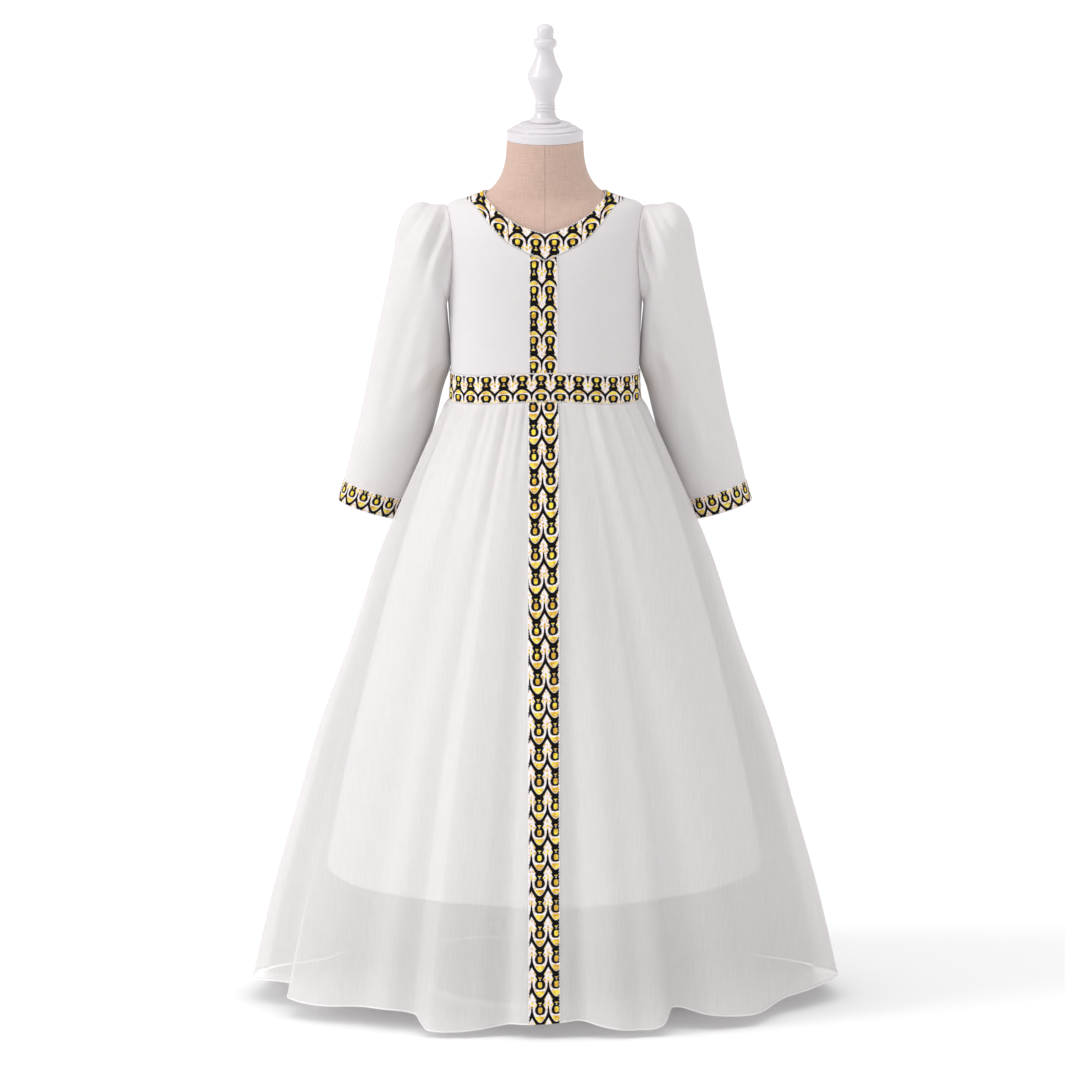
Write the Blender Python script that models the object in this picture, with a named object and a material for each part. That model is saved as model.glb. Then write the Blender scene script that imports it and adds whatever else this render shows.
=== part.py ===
"""A girl's long gown with patterned trim, standing on a limbless dress form.

Metres, +Z up. The front faces -Y and +X is to the right of someone who looks at the front.
The origin is the centre of the base's underside. Tables and named sizes are in millimetres and
are turned into metres by MM. "around" is an angle about the Z axis, 0 at the centre front and
a quarter turn at the +X side.
"""

import math
from collections import namedtuple
from functools import lru_cache

import bmesh
import bpy
from mathutils import Matrix, Vector

MM = 0.001
SIDE = math.pi / 2
BACK = math.pi

# Cloth and seams
SEAM = 0.3
CLOTH = 1.2
SHEER = 1.0
TRIM = 1.4
NECKBAND = 1.5
WAISTBAND = 2.8
LAYER_GAP = 0.3
SKIRT_INSET = 1.5

# Belt line and bands
BELT_HEIGHT = 32.5
BELT_SIDE_CENTRE = 705.5
BELT_FRONT_RISE = 10.0
BAND_HALF_WIDTH = 17.8

# Centre back zip
ZIP_SLOT = 3.6
ZIP_CHAIN_WIDTH = 3.0
ZIP_CHAIN_THICK = 1.2
ZIP_TOP = 917.0
ZIP_SHARE = 0.13
ZIP_INSET = 0.4
ZIP_UPPER_ROWS = 12

# Dress form stand
NECK_RADIUS = 43.7
NECK_TOP = 992.0
TORSO_BOTTOM = 485.0
BASE_RADIUS = 130.0
POLE_RADIUS = 13.0
POLE_BOTTOM = 38.0
REST_GAP = 0.3

# The dress form from its lower edge to the top of its neck. half_width is along X, front and back
# are depths from the centre, roundness is the superellipse power of the outline, and ease is how far
# the cloth's inner face stands off the form there.
FormRing = namedtuple("FormRing", "height half_width front back roundness ease")
FORM_RINGS = (
    FormRing(485.0, 106.0, 76.0, 88.0, 2.2, 4.0),
    FormRing(520.0, 113.0, 81.0, 94.0, 2.2, 4.0),
    FormRing(570.0, 116.0, 84.0, 96.0, 2.2, 4.0),
    FormRing(620.0, 113.0, 82.0, 91.0, 2.2, 3.5),
    FormRing(665.0, 108.0, 78.0, 81.0, 2.2, 2.6),
    FormRing(710.0, 104.5, 75.0, 75.0, 2.2, 2.2),
    FormRing(750.0, 104.0, 74.0, 75.0, 2.25, 3.6),
    FormRing(790.0, 105.0, 75.0, 77.0, 2.3, 4.2),
    FormRing(830.0, 107.5, 76.0, 79.0, 2.35, 4.4),
    FormRing(860.0, 110.0, 75.0, 79.0, 2.35, 4.4),
    FormRing(885.0, 111.5, 70.0, 75.0, 2.25, 4.0),
    FormRing(900.0, 111.5, 64.0, 69.0, 2.0, 4.0),
    FormRing(910.0, 109.0, 58.0, 63.0, 1.8, 4.2),
    FormRing(916.0, 104.5, 53.0, 58.0, 1.7, 3.4),
    FormRing(920.5, 95.5, 49.0, 54.0, 1.7, 1.6),
    FormRing(924.5, 84.0, 46.0, 51.0, 1.75, 1.0),
    FormRing(929.0, 72.5, 43.5, 49.0, 1.85, 1.0),
    FormRing(936.0, 61.0, 42.5, 48.0, 2.0, 1.2),
    FormRing(950.0, 51.0, 42.0, 46.0, 2.0, 1.6),
    FormRing(968.0, 45.6, 42.8, 44.2, 2.0, 2.0),
    FormRing(NECK_TOP, NECK_RADIUS, NECK_RADIUS, NECK_RADIUS, 2.0, 2.0),
)

# The neckband between its outer edge, sewn to the bodice, and its open inner edge.
NeckPoint = namedtuple("NeckPoint", "angle outer inner")
NECK_FRONT = (
    NeckPoint(0.0, 866.5, 896.0),
    NeckPoint(17.0, 873.5, 899.5),
    NeckPoint(32.0, 882.5, 905.0),
    NeckPoint(46.0, 896.0, 911.5),
    NeckPoint(60.0, 909.5, 920.0),
    NeckPoint(75.0, 919.0, 927.5),
    NeckPoint(90.0, 922.7, 932.0),
)
NECK_BACK = (
    NeckPoint(90.0, 922.7, 932.0),
    NeckPoint(108.0, 917.0, 928.5),
    NeckPoint(130.0, 907.5, 924.0),
    NeckPoint(155.0, 900.5, 921.5),
    NeckPoint(180.0, 898.5, 920.5),
)

# The armhole from the underarm up to the shoulder tip, in front and behind alike.
ArmPoint = namedtuple("ArmPoint", "height half_width")
ARMHOLE = (
    ArmPoint(806.0, 111.0),
    ArmPoint(811.0, 110.3),
    ArmPoint(823.0, 108.6),
    ArmPoint(841.0, 107.0),
    ArmPoint(861.0, 106.2),
    ArmPoint(880.0, 106.4),
    ArmPoint(896.0, 107.8),
    ArmPoint(907.0, 110.2),
    ArmPoint(913.0, 112.0),
)
SIDE_SEAM_ROWS = 3
SHOULDER_ROWS = 2
BODICE_COLUMNS = 8
NECKBAND_ROWS = (0.02, 0.5, 1.0)
WAISTBAND_COLUMNS = 36
SLEEVE_POINTS = 2 * (len(ARMHOLE) - 1)
FORM_POINTS = 36

# The +X sleeve from its gathered head to its hem: the outer and the inner edge of each ring as
# they show from the front, how far back its centre lies, and its depth in front and behind.
SleeveRing = namedtuple("SleeveRing", "outer_x outer_z inner_x inner_z centre_y front back")
SLEEVE_RINGS = (
    SleeveRing(128.0, 924.5, 112.9, 801.0, 0.0, 44.0, 45.0),
    SleeveRing(143.0, 921.5, 113.1, 793.0, 1.0, 48.0, 49.0),
    SleeveRing(156.0, 911.5, 113.3, 784.0, 3.0, 50.0, 51.0),
    SleeveRing(166.0, 893.0, 113.6, 773.0, 7.0, 50.0, 50.0),
    SleeveRing(173.5, 862.0, 114.0, 760.0, 12.0, 48.0, 49.0),
    SleeveRing(180.5, 826.0, 114.8, 745.0, 17.0, 47.0, 47.0),
    SleeveRing(188.0, 787.0, 116.5, 727.0, 23.0, 45.0, 45.0),
    SleeveRing(197.0, 740.0, 120.5, 699.0, 31.0, 43.0, 43.0),
    SleeveRing(208.0, 684.0, 128.5, 654.0, 42.0, 40.0, 40.0),
    SleeveRing(220.0, 636.0, 139.5, 612.0, 53.0, 38.0, 38.0),
    SleeveRing(227.5, 604.0, 149.0, 581.0, 62.0, 36.0, 36.0),
    SleeveRing(231.0, 586.0, 154.0, 564.0, 66.0, 35.0, 35.0),
)
CUFF_HEM = SleeveRing(238.0, 560.5, 161.5, 538.5, 73.0, 35.0, 35.0)
CUFF_PROUD = 0.5
SLEEVE_START = 0.35

# Skirt outlines by the share of the way from the belt to the hem.
SkirtRing = namedtuple("SkirtRing", "share half_width front back roundness")
SKIRT_RINGS = (
    SkirtRing(0.03, 119.0, 89.0, 90.0, 2.1),
    SkirtRing(0.13, 150.0, 118.0, 120.0, 2.0),
    SkirtRing(0.27, 190.0, 152.0, 154.0, 2.0),
    SkirtRing(0.41, 220.0, 182.0, 186.0, 2.0),
    SkirtRing(0.56, 256.0, 216.0, 222.0, 2.0),
    SkirtRing(0.70, 282.0, 242.0, 250.0, 2.0),
    SkirtRing(0.85, 309.0, 267.0, 276.0, 2.0),
    SkirtRing(1.00, 331.0, 288.0, 297.0, 2.0),
)
LINING_RINGS = (
    SkirtRing(0.05, 114.0, 84.0, 85.0, 2.1),
    SkirtRing(0.20, 144.0, 112.0, 114.0, 2.0),
    SkirtRing(0.40, 177.0, 141.0, 144.0, 2.0),
    SkirtRing(0.60, 205.0, 169.0, 173.0, 2.0),
    SkirtRing(0.80, 230.0, 194.0, 199.0, 2.0),
    SkirtRing(1.00, 251.0, 216.0, 222.0, 2.0),
)
SKIRT_ROWS = (0.0, 0.03, 0.08, 0.13, 0.2, 0.3, 0.42, 0.54, 0.66, 0.78, 0.89, 1.0)
LINING_ROWS = (0.0, 0.05, 0.17, 0.34, 0.55, 0.78, 1.0)
SKIRT_COLUMNS = 12
LINING_COLUMNS = 8

# Hem heights at the centre front, the sides and the centre back.
HemLine = namedtuple("HemLine", "front side back")
SKIRT_HEM = HemLine(5.0, 14.0, 5.0)
LINING_HEM = HemLine(141.0, 148.0, 143.0)

# The largest folds: where each runs, how far it spreads to either side, how far it stands out at
# the hem (in, where negative) and the share of the skirt's length at which it begins.
Fold = namedtuple("Fold", "angle spread reach start")
SKIRT_FOLDS = (
    Fold(-68.0, 15.0, 8.0, 0.10),
    Fold(-47.0, 12.0, -8.0, 0.15),
    Fold(-27.0, 11.0, 9.0, 0.05),
    Fold(-11.0, 7.0, -8.0, 0.05),
    Fold(15.0, 9.0, 8.0, 0.05),
    Fold(28.0, 8.0, -9.0, 0.10),
    Fold(42.0, 10.0, 8.0, 0.10),
    Fold(62.0, 12.0, -7.0, 0.20),
    Fold(82.0, 12.0, 7.0, 0.15),
    Fold(104.0, 12.0, -8.0, 0.15),
    Fold(126.0, 12.0, 9.0, 0.10),
    Fold(147.0, 11.0, -8.0, 0.10),
    Fold(165.0, 9.0, 7.0, 0.15),
    Fold(-90.0, 11.0, -6.0, 0.20),
    Fold(-110.0, 13.0, 8.0, 0.10),
    Fold(-133.0, 12.0, -8.0, 0.15),
    Fold(-154.0, 11.0, 9.0, 0.05),
    Fold(-170.0, 7.0, -6.0, 0.20),
)
LINING_FOLDS = (
    Fold(-60.0, 30.0, 5.0, 0.3),
    Fold(20.0, 28.0, 5.0, 0.3),
    Fold(75.0, 25.0, -4.0, 0.3),
    Fold(130.0, 30.0, 5.0, 0.3),
    Fold(-135.0, 30.0, 4.0, 0.3),
)

# Turned pieces from bottom to top
Turn = namedtuple("Turn", "radius height")
NECK_CAP = (
    Turn(NECK_RADIUS, NECK_TOP + REST_GAP),
    Turn(43.9, 1001.0),
    Turn(42.8, 1002.6),
    Turn(38.8, 1003.4),
    Turn(38.4, 1005.6),
    Turn(33.0, 1008.2),
    Turn(30.5, 1008.6),
    Turn(30.0, 1010.6),
    Turn(26.8, 1011.8),
    Turn(24.0, 1012.4),
)
FINIAL = (
    Turn(17.8, 1012.7),
    Turn(17.6, 1014.6),
    Turn(13.6, 1018.0),
    Turn(11.6, 1023.5),
    Turn(11.4, 1025.6),
    Turn(12.2, 1027.2),
    Turn(11.0, 1028.8),
    Turn(11.9, 1031.0),
    Turn(10.8, 1033.0),
    Turn(11.5, 1035.0),
    Turn(10.9, 1037.5),
    Turn(12.8, 1044.0),
    Turn(17.2, 1054.5),
    Turn(19.9, 1062.5),
    Turn(20.2, 1066.5),
    Turn(18.6, 1070.5),
    Turn(14.6, 1078.5),
    Turn(11.2, 1087.5),
    Turn(9.6, 1095.5),
    Turn(10.4, 1098.0),
    Turn(12.9, 1101.0),
    Turn(13.3, 1104.0),
    Turn(12.6, 1107.4),
    Turn(9.6, 1109.6),
    Turn(9.4, 1112.0),
    Turn(10.0, 1117.0),
    Turn(8.6, 1122.2),
    Turn(4.6, 1124.9),
)
BASE = (
    Turn(BASE_RADIUS, 0.0),
    Turn(BASE_RADIUS, 4.0),
    Turn(128.6, 6.6),
    Turn(125.0, 8.0),
    Turn(30.0, 10.5),
    Turn(23.0, 14.0),
    Turn(20.0, 22.0),
    Turn(19.0, 35.5),
    Turn(17.2, POLE_BOTTOM - REST_GAP),
)

# The zip's slider and pull tab, in the slider's own frame: x across the zip, y down along it and
# z out of the cloth. The pull tab turns about the pin, and its origin is on the pin.
SLIDER_RING = 912.0
SLIDER_WIDTH = 5.4
SLIDER_LENGTH = 8.0
SLIDER_PLATE = 1.6
EAR_THICK = 0.8
EAR_INSIDE = 2.8
PIN_HEIGHT = 3.6
PIN_RADIUS = 0.5
EAR_RADIUS = 1.1
EYE_HOLE = 0.85
EYE_RADIUS = 1.7
EYE_WIDTH = 2.2
PULL_LENGTH = 17.0
PULL_WIDTH = 5.0
PULL_THICK = 1.0
PULL_LEAN = 18.0

WHITE_CLOTH = ((0.86, 0.86, 0.85), 0.75, 0.0)
TRIM_CLOTH = ((0.62, 0.55, 0.30), 0.7, 0.0)
LINEN = ((0.66, 0.57, 0.49), 0.9, 0.0)
WHITE_PAINT = ((0.84, 0.84, 0.86), 0.35, 0.0)
ZIP_NYLON = ((0.85, 0.85, 0.84), 0.5, 0.0)
ZIP_METAL = ((0.8, 0.8, 0.8), 0.3, 0.9)


def clear_scene():
    for left in list(bpy.data.objects):
        bpy.data.objects.remove(left, do_unlink=True)


def finish(node, look):
    """Gives the object a material of its own."""
    colour, roughness, metallic = look
    material = bpy.data.materials.new(node.name + "_finish")
    material.use_nodes = True
    shader = material.node_tree.nodes["Principled BSDF"]
    shader.inputs["Base Color"].default_value = (*colour, 1.0)
    shader.inputs["Roughness"].default_value = roughness
    shader.inputs["Metallic"].default_value = metallic
    node.data.materials.append(material)


def to_object(name, mesh, look, parent):
    """A linked object of a bmesh, shaded smooth but for its sharp edges, under its parent."""
    data = bpy.data.meshes.new(name)
    bmesh.ops.recalc_face_normals(mesh, faces=mesh.faces)
    mesh.to_mesh(data)
    mesh.free()
    data.shade_smooth()
    data.set_sharp_from_angle(angle=math.radians(40))
    node = bpy.data.objects.new(name, data)
    bpy.context.scene.collection.objects.link(node)
    node.parent = parent
    finish(node, look)
    return node


def guide(name, place=Matrix()):
    """An empty that pieces are parented to."""
    empty = bpy.data.objects.new(name, None)
    empty.matrix_world = place
    bpy.context.scene.collection.objects.link(empty)
    return empty


def mix(a, b, share):
    return a + (b - a) * share


def between(rows, position):
    """The table's values at a fractional row number, on a smooth curve through its rows."""
    position = min(max(position, 0.0), len(rows) - 1.0)
    step = min(int(position), len(rows) - 2)
    t = position - step
    near = (rows[min(max(step + k, 0), len(rows) - 1)] for k in (-1, 0, 1, 2))
    return type(rows[0])(
        *(
            0.5 * (2 * q + (r - p) * t + (2 * p - 5 * q + 4 * r - s) * t**2 + (3 * q - p - 3 * r + s) * t**3)
            for p, q, r, s in zip(*near)
        )
    )


@lru_cache(maxsize=None)
def position_of(rows, column, value):
    """The fractional row number at which a rising column reaches a value."""
    low, high = 0.0, len(rows) - 1.0
    for _ in range(40):
        middle = (low + high) / 2
        if getattr(between(rows, middle), column) < value:
            low = middle
        else:
            high = middle
    return (low + high) / 2


@lru_cache(maxsize=None)
def row_at(rows, column, value):
    return between(rows, position_of(rows, column, value))


def outline(around, half_width, front, back, roundness):
    """The distance from the Z axis to a superellipse, in the direction around."""
    depth = front if math.cos(around) > 0 else back
    across = abs(math.sin(around)) / half_width
    along = abs(math.cos(around)) / depth
    return (across**roundness + along**roundness) ** (-1 / roundness)


def polar(around, distance, height):
    return Vector((distance * math.sin(around), -distance * math.cos(around), height)) * MM


def normal_of(surface, around, level, step=1e-3):
    """The direction out of a surface, away from the Z axis, at one of its points."""
    across = surface(around + step, level) - surface(around - step, level)
    along = surface(around, level + step) - surface(around, level - step)
    out = across.cross(along).normalized()
    return out if out.dot(polar(around, 1.0, 0.0)) > 0 else -out


def form_point(around, level):
    """A point of the dress form. A level is a fractional row number of FORM_RINGS."""
    ring = between(FORM_RINGS, level)
    distance = outline(around, ring.half_width, ring.front, ring.back, ring.roundness)
    return polar(around, distance, ring.height)


def cloth_point(around, level):
    """A point of the cloth's inner face on the upper body."""
    ease = between(FORM_RINGS, level).ease * MM
    return form_point(around, level) + normal_of(form_point, around, level) * ease


def level_of(height):
    return position_of(FORM_RINGS, "height", height)


def moved_out(surface, places, distance):
    """The grid of a surface's points at these places, moved out from it."""
    return [
        [surface(*place) + normal_of(surface, *place) * distance * MM for place in row]
        for row in places
    ]


def wall(name, inner, outer, look, parent, closed=False):
    """A cloth wall between two grids of points, joined round its last column where closed."""
    rows, columns = len(inner), len(inner[0])
    mesh = bmesh.new()
    skins = [[[mesh.verts.new(point) for point in row] for row in grid] for grid in (inner, outer)]
    spans = [(c, (c + 1) % columns) for c in range(columns if closed else columns - 1)]

    def panel(a, b, c, d):
        mesh.faces.new((a, b, c))
        mesh.faces.new((a, c, d))

    for r in range(rows - 1):
        for c, d in spans:
            rising = (inner[r][c] - inner[r + 1][d]).length
            falling = (inner[r][d] - inner[r + 1][c]).length
            for low, high in (skin[r : r + 2] for skin in skins):
                if rising < falling:
                    panel(low[c], low[d], high[d], high[c])
                else:
                    panel(low[d], high[d], high[c], low[c])
    for r in (0, rows - 1):
        for c, d in spans:
            panel(skins[0][r][c], skins[0][r][d], skins[1][r][d], skins[1][r][c])
    for c in () if closed else (0, columns - 1):
        for r in range(rows - 1):
            panel(skins[0][r][c], skins[0][r + 1][c], skins[1][r + 1][c], skins[1][r][c])
    return to_object(name, mesh, look, parent)


def surface_wall(name, surface, places, offset, thickness, look, parent):
    inner = moved_out(surface, places, offset)
    outer = moved_out(surface, places, offset + thickness)
    return wall(name, inner, outer, look, parent)


def side_seam(level, behind=False):
    """The angle of the side and shoulder seams, half a seam's gap short of the side."""
    gap = SEAM / 2 / between(FORM_RINGS, level).half_width
    return SIDE + gap if behind else SIDE - gap


def belt_edge(around, rise):
    """The height of a line that lies a rise above the belt's middle."""
    front = max(0.0, math.cos(around)) ** 2
    return BELT_SIDE_CENTRE + BELT_FRONT_RISE * front + rise


def angle_at_width(level, half_width, behind=False):
    """The angle at which the cloth's outer face is this far to the +X side of the middle."""
    low, high = 0.0, SIDE
    for _ in range(30):
        middle = (low + high) / 2
        around = BACK - middle if behind else middle
        out = cloth_point(around, level) + normal_of(cloth_point, around, level) * CLOTH * MM
        if out.x < half_width * MM:
            low = middle
        else:
            high = middle
    return BACK - middle if behind else middle


def armhole_places(behind):
    """The armhole's edge on the bodice, from the underarm up to the shoulder tip."""
    places = []
    for r, point in enumerate(ARMHOLE):
        level = level_of(point.height)
        if 0 < r < len(ARMHOLE) - 1:
            places.append((angle_at_width(level, point.half_width, behind), level))
        else:
            places.append((side_seam(level, behind), level))
    return places


def side_edge(behind):
    """The bodice's +X side from the belt to the neckband: side seam, armhole and shoulder seam."""
    low = level_of(belt_edge(SIDE, BELT_HEIGHT / 2 + SEAM))
    armhole = armhole_places(behind)
    underarm, tip = armhole[0][1], armhole[-1][1]
    corner = level_of(NECK_FRONT[-1].outer)
    seam = [mix(low, underarm, r / SIDE_SEAM_ROWS) for r in range(SIDE_SEAM_ROWS)]
    shoulder = [mix(tip, corner, (r + 1) / SHOULDER_ROWS) for r in range(SHOULDER_ROWS)]
    return (
        [(side_seam(level, behind), level) for level in seam]
        + armhole
        + [(side_seam(level, behind), level) for level in shoulder]
    )


def neck_level(around, edge):
    """The level of the neckband's outer or inner edge."""
    angle = math.degrees(abs(around))
    rows = NECK_FRONT if angle <= NECK_FRONT[-1].angle else NECK_BACK
    return level_of(getattr(row_at(rows, "angle", angle), edge))


def patch(bottom, top, left, right):
    """A grid of places between four edges: bottom and top run left to right, the others go up."""
    start, end = left[0][1], left[-1][1]
    first, last = bottom[0][0], bottom[-1][0]
    grid = []
    for a, b in zip(left, right):
        up = (a[1] - start) / (end - start)
        row = []
        for low, high in zip(bottom, top):
            along = (low[0] - first) / (last - first)
            place = []
            for k in (0, 1):
                edges = mix(low[k], high[k], up) + mix(a[k], b[k], along)
                low_corner = mix(bottom[0][k], bottom[-1][k], along)
                high_corner = mix(top[0][k], top[-1][k], along)
                place.append(edges - mix(low_corner, high_corner, up))
            row.append(tuple(place))
        grid.append(row)
    return grid


def spread(first, last, columns):
    return [mix(first, last, c / columns) for c in range(columns + 1)]


def both_sides(half):
    """Angles for the front: the -X side, the centre front and the +X side."""
    return [-angle for angle in reversed(half)] + [0.0] + half


def other_side(places):
    """The same places on the -X side, still running the same way around."""
    return [[(-around, level) for around, level in reversed(row)] for row in places]


def bodice_front_places():
    right = side_edge(behind=False)
    left = [(-around, level) for around, level in right]
    rise = BELT_HEIGHT / 2 + SEAM
    low_edge = angle_at_width(level_of(belt_edge(0.0, rise)), BAND_HALF_WIDTH)
    high_edge = angle_at_width(neck_level(low_edge, "outer"), BAND_HALF_WIDTH)
    low = both_sides(spread(low_edge, right[0][0], BODICE_COLUMNS))
    high = both_sides(spread(high_edge, right[-1][0], BODICE_COLUMNS))
    bottom = [(around, level_of(belt_edge(around, rise))) for around in low]
    top = [(around, neck_level(around, "outer")) for around in high]
    grid = patch(bottom, top, left, right)
    for row in grid:
        for side, column in ((-1, BODICE_COLUMNS), (1, BODICE_COLUMNS + 2)):
            level = row[column][1]
            row[column] = (side * angle_at_width(level, BAND_HALF_WIDTH), level)
    return grid


def zip_edge(surface, level, slot=ZIP_SLOT):
    """The angle at which a piece ends beside a slot down the centre back."""
    return BACK - math.asin(slot / 2 * MM / surface(BACK, level).y)


def bodice_back_places():
    """The +X half of the back, from the side to the zip."""
    left = side_edge(behind=True)
    low = level_of(belt_edge(BACK, BELT_HEIGHT / 2 + SEAM))
    high = neck_level(BACK, "outer")
    right = []
    for _, side_level in left:
        up = (side_level - left[0][1]) / (left[-1][1] - left[0][1])
        level = mix(low, high, up)
        right.append((zip_edge(cloth_point, level), level))
    bottom = [(around, low) for around in spread(left[0][0], right[0][0], BODICE_COLUMNS)]
    angles = spread(left[-1][0], right[-1][0], BODICE_COLUMNS)
    top = [(around, neck_level(around, "outer")) for around in angles]
    return patch(bottom, top, left, right)


def neckband_places(neckline, behind):
    """Rows from the neckband's outer edge, beside the bodice's neckline, to its inner edge."""
    first, last = neckline[0][0], neckline[-1][0]
    places = []
    for share in NECKBAND_ROWS:
        side_level = mix(level_of(NECK_BACK[0].outer), level_of(NECK_BACK[0].inner), share)
        back_level = mix(neck_level(BACK, "outer"), neck_level(BACK, "inner"), share)
        start = side_seam(side_level, behind) if behind else -side_seam(side_level)
        end = zip_edge(cloth_point, back_level) if behind else side_seam(side_level)
        row = []
        for angle, _ in neckline:
            around = mix(start, end, (angle - first) / (last - first))
            level = mix(neck_level(around, "outer"), neck_level(around, "inner"), share)
            row.append((around, level))
        places.append(row)
    return places


def make_bodice(dress):
    """The bodice, its centre band and the neckband."""
    front = bodice_front_places()
    back = bodice_back_places()
    middle = BODICE_COLUMNS
    band = [row[middle : middle + 3] for row in front]
    neck_front = neckband_places(front[-1], behind=False)
    neck_back = neckband_places(back[-1], behind=True)
    over = CLOTH + LAYER_GAP
    for name, places, offset, thickness, look in (
        ("bodice_front", front, 0.0, CLOTH, WHITE_CLOTH),
        ("bodice_back_right", back, 0.0, CLOTH, WHITE_CLOTH),
        ("bodice_back_left", other_side(back), 0.0, CLOTH, WHITE_CLOTH),
        ("front_band_bodice", band, over, TRIM, TRIM_CLOTH),
        ("neckband_front", neck_front, 0.0, NECKBAND, TRIM_CLOTH),
        ("neckband_back_right", neck_back, 0.0, NECKBAND, TRIM_CLOTH),
        ("neckband_back_left", other_side(neck_back), 0.0, NECKBAND, TRIM_CLOTH),
    ):
        surface_wall(name, cloth_point, places, offset, thickness, look, dress)


def make_waistband(dress):
    """The waistband, all round from one side of the zip to the other."""
    places = []
    for rise in (-BELT_HEIGHT / 2, BELT_HEIGHT / 2):
        edge = zip_edge(cloth_point, level_of(belt_edge(BACK, rise)))
        angles = spread(-edge, edge, WAISTBAND_COLUMNS)
        places.append([(around, level_of(belt_edge(around, rise))) for around in angles])
    surface_wall("waistband", cloth_point, places, 0.0, WAISTBAND, TRIM_CLOTH, dress)


@lru_cache(maxsize=None)
def rings_from_belt(rings, inset):
    """A skirt's rings with one more at the belt, this far out from the cloth's inner face."""
    waist = between(FORM_RINGS, level_of(belt_edge(SIDE, -BELT_HEIGHT / 2 - SEAM)))
    out = waist.ease + inset
    sizes = (waist.half_width + out, waist.front + out, waist.back + out, waist.roundness)
    return (SkirtRing(0.0, *sizes), *rings)


def fold_reach(folds, around, share):
    """How far the folds move a skirt out, or in where negative."""
    reach = 0.0
    for fold in folds:
        away = (math.degrees(around) - fold.angle + 180) % 360 - 180
        if abs(away) < fold.spread and share > fold.start:
            growth = ((share - fold.start) / (1 - fold.start)) ** 0.8
            reach += fold.reach * growth * math.cos(away / fold.spread * SIDE) ** 2
    return reach


def skirt_surface(rings, folds, hem, inset):
    """The inner face of a skirt, at an angle and a share of the way from the belt to the hem."""
    rows = rings_from_belt(rings, inset)

    def point(around, share):
        ring = row_at(rows, "share", share)
        distance = outline(around, ring.half_width, ring.front, ring.back, ring.roundness)
        distance += fold_reach(folds, around, share)
        end = hem.front if math.cos(around) > 0 else hem.back
        bottom = mix(hem.side, end, math.cos(around) ** 2)
        return polar(around, distance, mix(belt_edge(around, -BELT_HEIGHT / 2 - SEAM), bottom, share))

    return point


def skirt_edge(surface, share, angle, inside):
    """The angle a little inside an edge, short of it by a length at the skirt's surface."""
    return angle - inside * MM / surface(angle, share).to_2d().length


def skirt_front_places(surface, rows, columns):
    places = []
    for share in rows:
        band = skirt_edge(surface, share, 0.0, -BAND_HALF_WIDTH)
        side = skirt_edge(surface, share, SIDE, SEAM / 2)
        places.append([(around, share) for around in both_sides(spread(band, side, columns))])
    return places


def skirt_back_places(surface, rows, columns):
    """The +X half of a skirt's back, slit for the zip as far down as ZIP_SHARE."""
    places = []
    for share in rows:
        side = skirt_edge(surface, share, SIDE, -SEAM / 2)
        back = zip_edge(surface, share, ZIP_SLOT if share <= ZIP_SHARE else SEAM)
        places.append([(around, share) for around in spread(side, back, columns)])
    return places


def make_skirt(dress):
    """The sheer outer skirt and the opaque lining under it."""
    outer = skirt_surface(SKIRT_RINGS, SKIRT_FOLDS, SKIRT_HEM, SKIRT_INSET)
    lining = skirt_surface(LINING_RINGS, LINING_FOLDS, LINING_HEM, 0.0)
    for name, surface, rows, columns in (
        ("skirt", outer, SKIRT_ROWS, SKIRT_COLUMNS),
        ("lining", lining, LINING_ROWS, LINING_COLUMNS),
    ):
        front = skirt_front_places(surface, rows, columns)
        right = skirt_back_places(surface, rows, columns)
        surface_wall(name + "_front", surface, front, 0.0, SHEER, WHITE_CLOTH, dress)
        surface_wall(name + "_back_right", surface, right, 0.0, SHEER, WHITE_CLOTH, dress)
        surface_wall(name + "_back_left", surface, other_side(right), 0.0, SHEER, WHITE_CLOTH, dress)
    front = skirt_front_places(outer, SKIRT_ROWS, SKIRT_COLUMNS)
    band = [row[SKIRT_COLUMNS : SKIRT_COLUMNS + 3] for row in front]
    surface_wall("front_band_skirt", outer, band, SHEER + LAYER_GAP, TRIM, TRIM_CLOTH, dress)


def sleeve_loop(ring, grow):
    """The points round a sleeve's ring from its outer edge by the front to its inner edge and back."""
    outer = Vector((ring.outer_x, ring.centre_y, ring.outer_z))
    inner = Vector((ring.inner_x, ring.centre_y, ring.inner_z))
    centre = (outer + inner) / 2
    reach = outer - centre
    reach += reach.normalized() * grow
    points = []
    for k in range(SLEEVE_POINTS):
        angle = 2 * math.pi * k / SLEEVE_POINTS
        depth = ring.front if math.sin(angle) > 0 else ring.back
        forward = Vector((0.0, -(depth + grow) * math.sin(angle), 0.0))
        points.append((centre + reach * math.cos(angle) + forward) * MM)
    return points


def armhole_loop():
    """The sleeve's first ring, just outside the bodice's armhole edge."""
    front = list(reversed(armhole_places(behind=False)))
    behind = armhole_places(behind=True)[1:-1]
    aside = Vector((SLEEVE_START * MM, 0.0, 0.0))
    return [
        cloth_point(*place) + normal_of(cloth_point, *place) * CLOTH * MM + aside
        for place in front + behind
    ]


def pulled_in(loop, distance):
    """The loop's points moved towards their middle."""
    middle = sum(loop, Vector()) / len(loop)
    return [point + (middle - point).normalized() * distance * MM for point in loop]


def mirrored(grid):
    return [[Vector((-point.x, point.y, point.z)) for point in row] for row in grid]


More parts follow.
